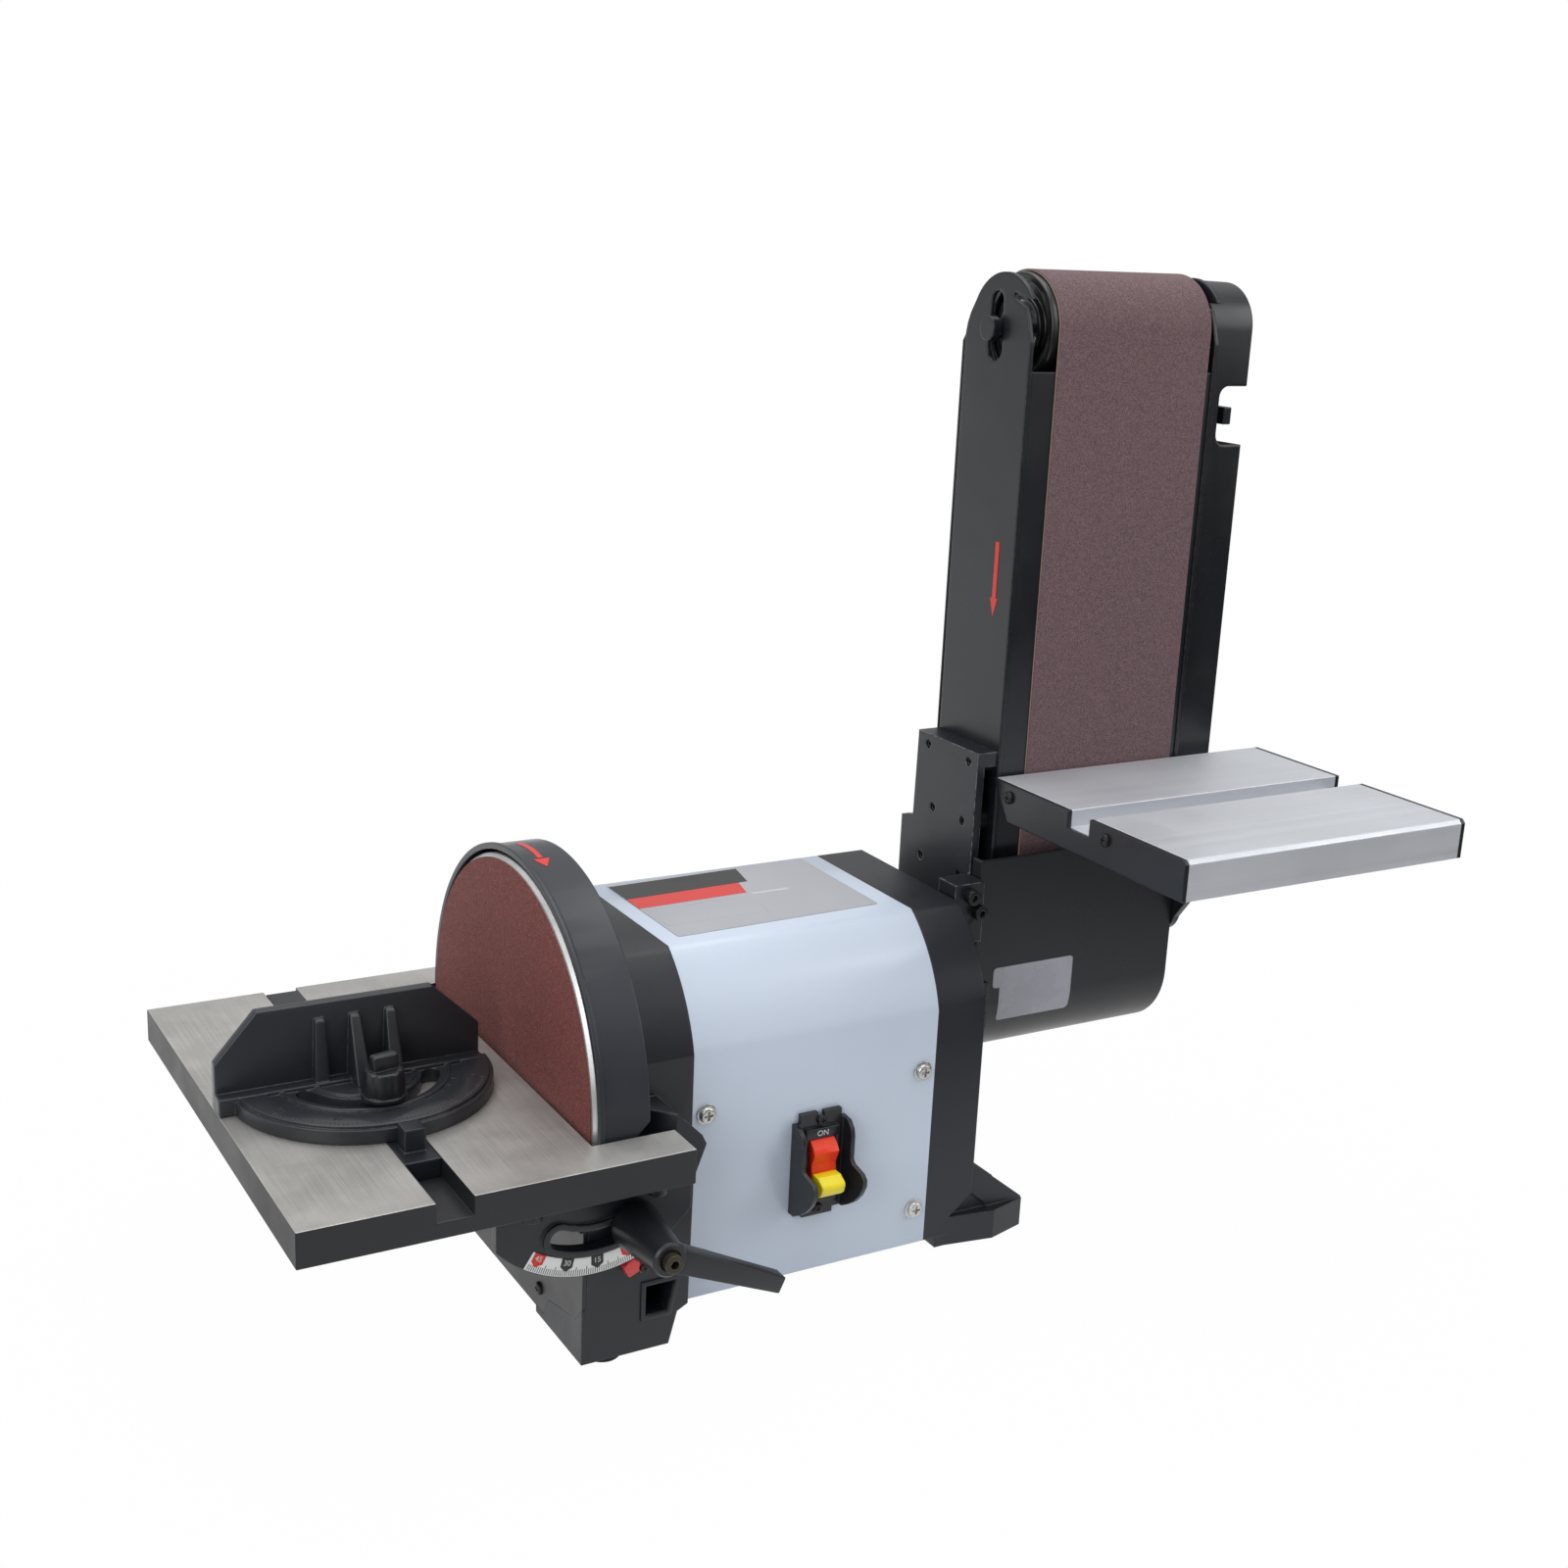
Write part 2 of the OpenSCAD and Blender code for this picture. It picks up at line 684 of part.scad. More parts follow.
module frame_screws() color(ZINC) machine() {
    for (p = frame_screw_places) difference() {
        rod_x(bracket_x0 + 1, frame_x0 + sheet_t, 2.5, p[0], p[1]);
        rod_x(bracket_x0, bracket_x0 + 3, 1.4, p[0], p[1], $fn = 6);
    }
}

axle_r = 5;
slot_half = axle_r + slide_gap;
frame_front = -belt_out_r + 0.15;
frame_back = 27;
frame_low = 50;
idler_drop = 6;

// Side of the belt frame in (y, z): a rounded top, a slit under its front hook and the axle's slot
module frame_side() {
    z = idler_z;
    difference() {
        union() {
            polygon([[frame_front, frame_low], [frame_back, frame_low], [frame_back, z - 4],
                [frame_back - 1.2, z + 1.5], [frame_back - 3.5, z + 7], [frame_back - 9, z + 15.5],
                [frame_front, z + 15.5]]);
            intersection() {
                translate([-6, z + 0.5]) circle(r = 28.4);
                translate([-36, z + 5]) square([60, 30]);
            }
        }
        polygon([[-40, z - 5], [frame_front, z - 5], [-27.2, z + 5.6], [-24, z + 12.2], [-14.5, z + 15.8],
            [-13.4, z + 17.6], [-14.5, z + 19.2], [-23.4, z + 16.3], [-40, z + 16.3]]);
        // upright slot for the idler's axle, wider at its foot
        translate([-slot_half, z - 12]) square([2 * slot_half, 26]);
        translate([0, z + 14]) circle(r = slot_half);
        translate([-slot_foot, z - 10.2]) square([2 * slot_foot, 8]);
        translate([0, z - 10]) circle(r = slot_foot);
    }
}

slot_foot = slot_half + 1.3;

module belt_frame() color(STEEL) machine() {
    web_front = -belt_in_r + platen_t;
    difference() {
        union() {
            along_x(frame_x0, frame_x0 + sheet_t) frame_side();
            along_x(flange_x0, flange_x1) frame_side();
            box(frame_x0 + sheet_t, flange_x0, web_front, web_front + web_t, frame_low + 5, idler_z - 33);
            // spring tube and lever pivot on the right side
            box(flange_x1, flange_x1 + 12.6, spring_y - 6, spring_y + 6, lever_z - 16, lever_z + 18);
            rod_x(flange_x1, lever_x0 + 6.5, 4, lever_y, lever_z);
        }
        rod_z(lever_z - 13, lever_z + 19, spring_r + slide_gap, spring_x, spring_y);
        for (p = frame_screw_places) rod_x(frame_x0 - 1, frame_x0 + sheet_t + 1, 2.5, p[0], p[1]);
    }
}

spring_x = flange_x1 + 6.3;
spring_y = 15;
spring_r = 4;
lever_x0 = flange_x1 + 16;
lever_y = 2;
lever_z = idler_z - 44;

// Tension spring at its working length, hidden in its tube
module tension_spring() color(ZINC) machine() {
    difference() {
        rod_z(lever_z - 13, lever_z + 3, spring_r, spring_x, spring_y);
        rod_z(lever_z - 14, lever_z + 4, 2.9, spring_x, spring_y);
    }
}

module platen() color(STEEL) machine() {
    box(frame_x0 + sheet_t, flange_x0, -belt_in_r, -belt_in_r + platen_t, frame_low + 5, idler_z - 20);
}

// Loop outline of the belt in (y, z)
module belt_loop_shape(r) {
    circle(r = r);
    translate([0, idler_z]) circle(r = r);
    translate([-r, 0]) square([2 * r, idler_z]);
}

module sanding_belt() color(GRIT) machine() {
    along_x(belt_x0, belt_x1) difference() {
        belt_loop_shape(belt_out_r);
        belt_loop_shape(belt_in_r);
    }
}

shroud_r = 38.5;
shroud_t = 1.5;
shroud_top = 84;
shroud_x0 = bracket_x0 + 1;

module shroud_shape(r) {
    circle(r = r);
    translate([-r, 0]) square([r, shroud_top]);
    translate([0, 0]) square([r, 45]);
}

// Sheet cover around the drive drum, open at the top for the belt
module drum_cover() color(STEEL) machine() {
    inner_r = shroud_r - shroud_t;
    difference() {
        along_x(shroud_x0, flange_x1) shroud_shape(shroud_r);
        along_x(shroud_x0 - 1, flange_x1 - shroud_t) {
            circle(r = inner_r);
            translate([-inner_r, 0]) square([2 * inner_r, shroud_top + 1]);
        }
        along_x(flange_x1 - shroud_t - 1, flange_x1 + 1) {
            translate([frame_front - 0.3, frame_low - 1]) square([2 * shroud_r, shroud_top]);
        }
    }
    // left edge turned in to the bracket
    box(shroud_x0, shroud_x0 + shroud_t, -inner_r, plate_front, 40, shroud_top);
}

housing_front = -21;
housing_back = 35.5;
housing_low = 112;
housing_top = idler_z + 27;

module housing_shape(inset = 0) {
    y0 = housing_front + inset;
    y1 = housing_back - inset;
    z1 = housing_top - inset;
    corner = 25 - inset;
    difference() {
        translate([y0, housing_low - 1 + inset]) square([y1 - y0, z1 - housing_low + 1 - inset]);
        translate([y0, z1 - corner]) difference() {
            square(corner);
            translate([corner, 0]) circle(r = corner);
        }
    }
}

// Three-sided guard beside and behind the belt, notched for the tension lever
module belt_guard() color(STEEL) machine() {
    t = 1.5;
    notch_x = guard_x1 - 19;
    difference() {
        along_x(guard_x0, guard_x1) housing_shape();
        along_x(guard_x0 - 1, guard_x1 - t) housing_shape(t);
        along_y(housing_front - 1, 14) {
            translate([notch_x, lever_z - 10]) square([30, 20]);
            translate([notch_x + 6, lever_z - 16]) square([30, 32]);
            for (s = [-1, 1]) translate([notch_x + 6, lever_z + s * 10]) circle(r = 6);
        }
        box(guard_x0 - 1, guard_x1 - t, housing_back - 2, housing_back + 1, lever_z - 30, idler_z + 18);
        box(guard_x0 - 1, guard_x1 - t, housing_front + t, housing_back - t, housing_low - 2,
            housing_low + 5);
    }
    box(frame_x0 + 4, guard_x0, housing_back - t, housing_back, frame_low, idler_z + 10);
    for (z = [140, lever_z - 68.5]) rod_x(flange_x1, guard_x1 - t, 5, 12, z);
}

pivot_y = -50;
pivot_z = belt_table_z - belt_table_t - 9.3;
lock_r = 34;
hinge_r = 5;

// Plate on the belt frame's right side that the belt table tilts on
module table_support() color(STEEL) machine() {
    along_x(flange_x1, flange_x1 + 4) difference() {
        union() {
            translate([-26, 38]) circle(r = 15.5);
            translate([pivot_y, pivot_z]) circle(r = 9);
            polygon([[-41, 34], [pivot_y - 16, pivot_z - lock_r + 4], [pivot_y - 9, pivot_z],
                [pivot_y, pivot_z + 5],
                [-14, pivot_z - 6], [-11, 34]]);
        }
        translate([pivot_y, pivot_z]) arc_slot(lock_r, 4.3, -2, belt_table_tilt + 2);
    }
    rod_x(flange_x1 + 4, flange_x1 + 8.3, hinge_r, pivot_y, pivot_z);
}

// ---- Idler ----

module idler_axle() color(ZINC) machine() {
    rod_x(frame_x0 - 6, frame_x0 - slide_gap, 6.5, 0, idler_z);
    rod_x(frame_x0 - slide_gap, flange_x1 + 12, axle_r, 0, idler_z);
}

idler_bearing_r = 15;

module idler_bearings() color(ZINC) machine() {
    for (x = [belt_x0 - 2.5, belt_x1 - 8]) difference() {
        rod_x(x, x + 9, idler_bearing_r, 0, idler_z);
        rod_x(x - 1, x + 10, axle_r, 0, idler_z);
    }
}

module idler_slider() color(ZINC) machine() {
    x0 = flange_x1 + slide_gap;
    difference() {
        union() {
            box(x0, flange_x1 + 12, -11, spring_y + 6, idler_z - 8, idler_z + 14);
            rod_z(lever_z + 4, idler_z - 8, 2.5, spring_x, spring_y);
        }
        rod_x(x0 - 1, flange_x1 + 13, axle_r, 0, idler_z);
        rod_y(12, spring_y + 7, 3 + run_fit, spring_x, idler_z + 8);
    }
}

module idler_drum() color(STEEL) machine() {
    x0 = belt_x0 - 4;
    x1 = belt_x1 + 1.5;
    difference() {
        rod_x(x0, x1, drum_r, 0, idler_z);
        rod_x(x0 - 1, x1 + 1, idler_bearing_r + run_fit, 0, idler_z);
        for (x = [x0 - 1, x1 - 4]) difference() {
            rod_x(x, x + 5, drum_r - 5, 0, idler_z);
            rod_x(x - 1, x + 6, idler_bearing_r + 3, 0, idler_z);
        }
    }
}

module tension_lever() color(STEEL) machine() {
    difference() {
        union() {
            box(lever_x0, lever_x0 + 5.5, housing_front - 1, lever_y, lever_z - 4.7, lever_z + 4.7);
            rod_x(lever_x0, lever_x0 + 5.5, 7, lever_y, lever_z);
        }
        rod_x(lever_x0 - 1, lever_x0 + 7, 4 + run_fit, lever_y, lever_z);
    }
}

module tracking_knob() color(PLASTIC) machine() {
    z = idler_z + 8;
    rod_y(13, 38, 3, spring_x, z);
    difference() {
        rod_y(38, 56, 12, spring_x, z);
        for (i = [1:8]) rotate_about(spring_x, z, 45 * i) rod_y(37, 57, 2, spring_x + 13, z);
    }
}

// Turns its children about a line along Y
module rotate_about(x, z, a) {
    translate([x, 0, z]) rotate([0, a, 0]) translate([-x, 0, -z]) children();
}

// ---- Belt table ----

bt_x0 = frame_x0 - 4.1;
bt_x1 = bt_x0 + belt_table_x;
bt_back = -belt_out_r - 1.85;
bt_front = bt_back - belt_table_y;
bt_slot_y = bt_back - 66.1;
bt_slot_w = 17.2;
bt_slot_d = 9.5;
cap_t = 2.5;

// End view of the belt table in (y, z), undercut at the belt so that it can tilt
module belt_table_outline() {
    z0 = belt_table_z - belt_table_t;
    difference() {
        polygon([[bt_back, belt_table_z], [bt_front + 2, belt_table_z], [bt_front, belt_table_z - 2],
            [bt_front, z0], [bt_back - 15, z0]]);
        translate([bt_slot_y - bt_slot_w, belt_table_z - bt_slot_d]) square([bt_slot_w, bt_slot_d + 1]);
    }
}

module belt_table_top() color(ALU) machine() {
    z0 = belt_table_z - belt_table_t;
    difference() {
        along_x(bt_x0 + cap_t, bt_x1 - cap_t) belt_table_outline();
        // hollow cells of the extrusion, open below
        for (c = [[bt_back - 60, bt_back - 22], [bt_front + 3, bt_slot_y - bt_slot_w - 5]])
            box(bt_x0 + cap_t + 4, bt_x1 - cap_t - 4, c[0], c[1], z0 + 4, belt_table_z - 5);
    }
}

module belt_table_end_caps() color(STEEL) machine() {
    for (x = [bt_x0, bt_x1 - cap_t]) along_x(x, x + cap_t) belt_table_outline();
}

end_cap_screw_y = [bt_back - 15.5, bt_back - 96.8];

module end_cap_screws() color(ZINC) machine() {
    z = belt_table_z - 7;
    for (y = end_cap_screw_y) {
        rod_x(bt_x0 - 2, bt_x0, 3.6, y, z);
        rod_x(bt_x1, bt_x1 + 2, 3.6, y, z);
    }
}

bracket_in = flange_x1 + 4.3;

module belt_table_bracket() color(STEEL) machine() {
    z0 = belt_table_z - belt_table_t;
    difference() {
        union() {
            box(bracket_in, bracket_in + 22, pivot_y - 34, pivot_y + 9, z0 - 3, z0);
            along_x(bracket_in, bracket_in + 4) {
                translate([pivot_y, pivot_z]) circle(r = 9);
                polygon([[pivot_y - 34, z0], [pivot_y - 10, pivot_z - lock_r],
                    [pivot_y + 9, pivot_z - lock_r],
                    [pivot_y + 9, z0]]);
                translate([pivot_y, pivot_z - lock_r]) circle(r = 9);
            }
        }
        rod_x(bracket_in - 1, bracket_in + 5, hinge_r + run_fit, pivot_y, pivot_z);
        rod_x(bracket_in - 1, bracket_in + 5, 4 + run_fit, pivot_y, pivot_z - lock_r);
    }
}

module belt_table_knob() color(PLASTIC) machine() {
    x0 = bracket_in + 4 + slide_gap;
    z = pivot_z - lock_r;
    rod_x(flange_x1 + 0.5, x0, 4, pivot_y, z);
    difference() {
        rod_x(x0, x0 + 20, 14, pivot_y, z);
        for (i = [1:6])
            translate([0, pivot_y, z]) rotate([60 * i, 0, 0]) rod_x(x0 + 6, x0 + 21, 3.5, 16.5, 0);
    }
}

// ---- Disc table ----

table_half = table_y / 2;
near_edge = 2.5;

// Undercut at the disc, which clears it at full tilt
module table_near_cut() {
    along_y(-notch_half, notch_half)
        polygon([[-near_edge, 1], [-near_edge, 0], [-near_edge - table_t, -table_t],
            [-near_edge - table_t, -table_t - 1], [table_ear_x + 1, -table_t - 1], [table_ear_x + 1, 1]]);
}

module disc_table_top() color(IRON) machine() {
    skin = 7;
    x0 = -table_reach;
    slot_x0 = -miter_slot_x - miter_slot_w / 2;
    slot_x1 = -miter_slot_x + miter_slot_w / 2;
    difference() {
        box(x0, table_ear_x, -table_half, table_half, -table_t, 0);
        table_near_cut();
        box(slot_x0, slot_x1, -table_half - 1, table_half + 1, -miter_slot_d, 1);
        // cells between the ribs, open below
        for (j = [-3:2]) {
            y0 = j * (table_y - 12) / 6 + 2;
            y1 = (j + 1) * (table_y - 12) / 6 - 2;
            box(x0 + 8, slot_x0 - 5, y0, y1, -table_t - 1, -skin);
            if (abs(j + 0.5) < 2) box(slot_x1 + 5, -near_edge - table_t - 4, y0, y1, -table_t - 1, -skin);
        }
    }
}

plate_y1 = -ped_half - 0.5;
plate_y0 = plate_y1 - 5.5;
slot_lean = 23.6;
slot_a0 = slot_lean - table_tilt - 1.5;
slot_a1 = slot_lean + 1.5;
slot_w = 10;
flange_front = plate_y0 - 10.5;

// Quadrant under the table in (x, z)
module trunnion_outline() {
    intersection() {
        circle(r = trunnion_r);
        translate([-49, -trunnion_r - 1]) square([99, trunnion_r + 1 - table_t]);
    }
}

module trunnion() {
    difference() {
        union() {
            along_y(plate_y0, plate_y1) trunnion_outline();
            // raised rim round the slot
            along_y(plate_y0 - 2, plate_y0) arc_slot(trunnion_slot_r, slot_w / 2 + 3, slot_a0, slot_a1);
            box(-43, table_ear_x + 5, flange_front, plate_y0, -table_t - 5.5, -table_t);
        }
        along_y(plate_y0 - 3, plate_y1 + 1) arc_slot(trunnion_slot_r, slot_w / 2, slot_a0, slot_a1);
        for (x = trunnion_bolt_x) rod_z(-table_t - 6, -table_t + 1, 3, x, (flange_front + plate_y0) / 2);
    }
}

trunnion_bolt_x = [-34, 29];

module front_trunnion() color(CAST) machine() trunnion();

module rear_trunnion() color(CAST) machine() mirror([0, 1, 0]) trunnion();

module trunnion_bolts() color(ZINC) machine() {
    front_and_back() for (x = trunnion_bolt_x) {
        rod_z(-table_t - 11, -table_t - 5.5, 4.8, x, (flange_front + plate_y0) / 2);
        rod_z(-table_t - 5.5, -table_t, 3, x, (flange_front + plate_y0) / 2);
    }
}

module tilt_scale() color([0.9, 0.9, 0.9]) machine() {
    along_y(plate_y0 - 0.5, plate_y0) sector(trunnion_r - 9.5, trunnion_r - 0.3, -33, 19);
}

pointer_lean = 16;
pointer_place = [(trunnion_r + 4.2) * sin(pointer_lean), -(trunnion_r + 4.2) * cos(pointer_lean)];

module tilt_pointer() color([0.85, 0.16, 0.12]) machine() {
    difference() {
        along_y(plate_y0 - 0.5, -ped_half) translate(pointer_place) rotate(pointer_lean)
            polygon([[0, 3.6], [3.5, 1], [3.5, -6.5], [-3.5, -6.5], [-3.5, 1]]);
        rod_y(plate_y0 - 3, -ped_half + 1, 1.5, pointer_place[0] + 1.2, pointer_place[1] - 3.4);
    }
}

module pointer_screw() color(ZINC) machine() {
    rod_y(plate_y0 - 2.5, plate_y0 - 0.5, 2.8, pointer_place[0] + 1.2, pointer_place[1] - 3.4);
    rod_y(plate_y0 - 0.5, -ped_half, 1.5, pointer_place[0] + 1.2, pointer_place[1] - 3.4);
}

lock_stud_r = 4;
lock_x = trunnion_slot_r * sin(slot_lean);
lock_z = -trunnion_slot_r * cos(slot_lean);
lever_len = 67;
lever_dip = 25;

module lock_lever() {
    y1 = plate_y0 - 2 - slide_gap;
    y0 = y1 - 38;
    rod_y(y1, -ped_half + 5, lock_stud_r, lock_x, lock_z);
    translate([lock_x, y1, lock_z]) rotate([90, 0, 0]) cylinder(h = y1 - y0, r1 = 13, r2 = 12);
    difference() {
        rod_y(y0 - 5, y0, 6.5, lock_x, lock_z);
        rod_y(y0 - 6, y0 - 2, 3, lock_x, lock_z, $fn = 6);
    }
    along_y(y0 + 0.5, y0 + 10.5) translate([lock_x, lock_z]) rotate(-lever_dip)
        polygon([[0, 10.5], [lever_len, 4.4], [lever_len, -4.4], [0, -10.5]]);
}

module front_lock_lever() color(CAST) machine() lock_lever();

module rear_lock_lever() color(CAST) machine() mirror([0, 1, 0]) lock_lever();

// ---- Miter gauge ----

gauge_y = -6;
gauge_r = 63;
gauge_slot_r = 33;
bar_gap = 0.1;

module miter_bar() color(ZINC) machine() {
    half = miter_slot_w / 2 - bar_gap;
    x = -miter_slot_x;
    difference() {
        box(x - half, x + half, -92, 128, -miter_slot_d + bar_gap, 0);
        rod_z(-7, 1, 3 + run_fit, x, gauge_y - gauge_slot_r);
    }
    rod_z(0, 9, 4, x, gauge_y);
    // pointer at the bar's front
    box(x - 5, x + 5, gauge_y - gauge_r - 13, gauge_y - gauge_r - 3, 0, 11);
}

// Front view of the fence in (x, z) about the pivot
module fence_outline() {
    polygon([[-70, 0.5], [60, 0.5], [60, 24], [36, 47], [-50, 47], [-70, 24]]);
}

module miter_head() color(PLASTIC) machine() translate([-miter_slot_x, gauge_y, 0]) {
    difference() {
        union() {
            // half disc with a raised scale band
            intersection() {
                union() {
                    rod_z(0.5, 7, gauge_r);
                    difference() {
                        rod_z(7, 8.5, gauge_r);
                        rod_z(6, 9, gauge_r - 14);
                    }
                }
                box(-gauge_r - 1, gauge_r + 1, -gauge_r - 1, 0, 0, 50);
            }
            along_y(0, 6) fence_outline();
            // gussets, low where the knob passes over them
            for (g = [[-21, 6], [-1, 19], [19, 6]]) along_x(g[0] - 1.5, g[0] + 1.5)
                polygon([[0, 7], [-24, 7], [-24, 8.5], [-g[1], 9], [0, 40]]);
            rod_z(0.5, 12, 10);
        }
        rod_z(0, 10, 4 + run_fit);
        translate([0, 0, -1]) linear_extrude(10) arc_slot(gauge_slot_r, 4.5, -60, 60);
    }
}

module miter_knob() color(PLASTIC) machine() {
    x = -miter_slot_x;
    y = gauge_y - gauge_slot_r;
    rod_z(-6, 9.5, 3, x, y);
    rod_z(9.5, 12.5, 11, x, y);
    difference() {
        rod_z(12.5, 31, 9.5, x, y);
        for (i = [1:8]) translate([x, y, 0]) rotate([0, 0, 45 * i]) rod_z(15, 32, 1.8, 10.4, 0);
    }
}

left_casting();
right_casting();
motor_cover();
bottom_plate();
rubber_feet();
motor_stator();
stator_windings();
stator_bolts();
shaft_bearings();
run_capacitor();
arm_retainer();
switch_housing();
switch_screws();
cover_screws();
disc_guard();
disc_cover();
disc_cover_screws();
disc_dust_port();
tilt_pointer();
pointer_screw();
cable_gland();
motor_shaft();
rotor_core();
cooling_fan();
disc_plate();
sanding_disc();
drive_drum();
arm_bracket();
frame_screws();
arm_screws();
belt_frame();
platen();
drum_cover();
belt_guard();
sanding_belt();
tension_spring();
table_support();
idler_axle();
idler_bearings();
idler_slider();
idler_drum();
tension_lever();
tracking_knob();
belt_table_top();
belt_table_end_caps();
end_cap_screws();
belt_table_bracket();
belt_table_knob();
disc_table_top();
front_trunnion();
rear_trunnion();
trunnion_bolts();
tilt_scale();
front_lock_lever();
rear_lock_lever();
miter_bar();
miter_head();
miter_knob();
switch_paddle();
switch_key();
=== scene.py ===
"""Looks of a bench belt and disc sander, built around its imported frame.

Sizes in the classes are millimetres in the machine's own frame: x = 0 is the disc's sanding face, +X
runs along the motor's axis towards the belt, -Y faces the operator, and z = 0 is the motor's axis.
`Sketch.piece` moves a finished mesh onto the bench, in metres.
"""

import json
import logging
import math
from dataclasses import dataclass, field, replace
from enum import Enum
from typing import Iterable, Optional, Sequence

import bmesh
import bpy
from mathutils import Matrix, Vector

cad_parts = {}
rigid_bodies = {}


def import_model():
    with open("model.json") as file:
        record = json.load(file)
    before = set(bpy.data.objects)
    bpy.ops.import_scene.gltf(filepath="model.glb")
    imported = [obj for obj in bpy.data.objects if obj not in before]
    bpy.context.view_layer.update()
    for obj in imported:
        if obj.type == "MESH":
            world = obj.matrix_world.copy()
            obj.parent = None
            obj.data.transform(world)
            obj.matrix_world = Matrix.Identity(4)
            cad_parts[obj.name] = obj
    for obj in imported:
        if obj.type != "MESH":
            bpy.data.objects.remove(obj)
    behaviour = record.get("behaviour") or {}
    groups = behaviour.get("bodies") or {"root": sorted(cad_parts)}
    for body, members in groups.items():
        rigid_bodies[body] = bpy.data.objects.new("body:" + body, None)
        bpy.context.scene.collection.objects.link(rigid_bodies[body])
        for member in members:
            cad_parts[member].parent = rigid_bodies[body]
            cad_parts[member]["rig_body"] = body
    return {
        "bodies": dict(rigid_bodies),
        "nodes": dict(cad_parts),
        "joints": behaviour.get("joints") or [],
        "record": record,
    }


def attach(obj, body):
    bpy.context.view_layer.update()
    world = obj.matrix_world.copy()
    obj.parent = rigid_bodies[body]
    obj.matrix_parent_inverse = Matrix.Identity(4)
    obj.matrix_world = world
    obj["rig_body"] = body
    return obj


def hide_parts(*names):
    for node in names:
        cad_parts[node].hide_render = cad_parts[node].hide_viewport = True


LOG = logging.getLogger("sander")

BENCH_X = -148.5
BENCH_Z = 121.0
TO_BENCH = Matrix.Scale(0.001, 4) @ Matrix.Translation((BENCH_X, 0.0, BENCH_Z))
SHARP = math.radians(32)

Point = tuple[float, float, float]
Flat = tuple[float, float]
Colour = tuple[float, float, float]
Node = bpy.types.Node
Socket = bpy.types.NodeSocket
Vert = bmesh.types.BMVert
Verts = list[Vert]


class Axis(Enum):
    """The direction that a round or extruded shape runs along."""

    X = 0
    Y = 1
    Z = 2

    def turn(self) -> Matrix:
        """Returns the rotation that takes +Z to this axis and a drawing to the other two axes."""
        if self is Axis.X:
            return Matrix(((0, 0, 1, 0), (1, 0, 0, 0), (0, 1, 0, 0), (0, 0, 0, 1)))
        if self is Axis.Y:
            return Matrix(((1, 0, 0, 0), (0, 0, 1, 0), (0, 1, 0, 0), (0, 0, 0, 1)))
        return Matrix.Identity(4)


TOWARDS_OPERATOR = Axis.Y.turn() @ Matrix.Diagonal((1, 1, -1, 1))


def srgb(red: int, green: int, blue: int) -> Colour:
    """Returns the linear colour of an 8-bit display colour."""

    def linear(value: int) -> float:
        share = value / 255
        return share / 12.92 if share <= 0.04045 else ((share + 0.055) / 1.055) ** 2.4

    return linear(red), linear(green), linear(blue)


# ---------------------------------------------------------------- shader groups


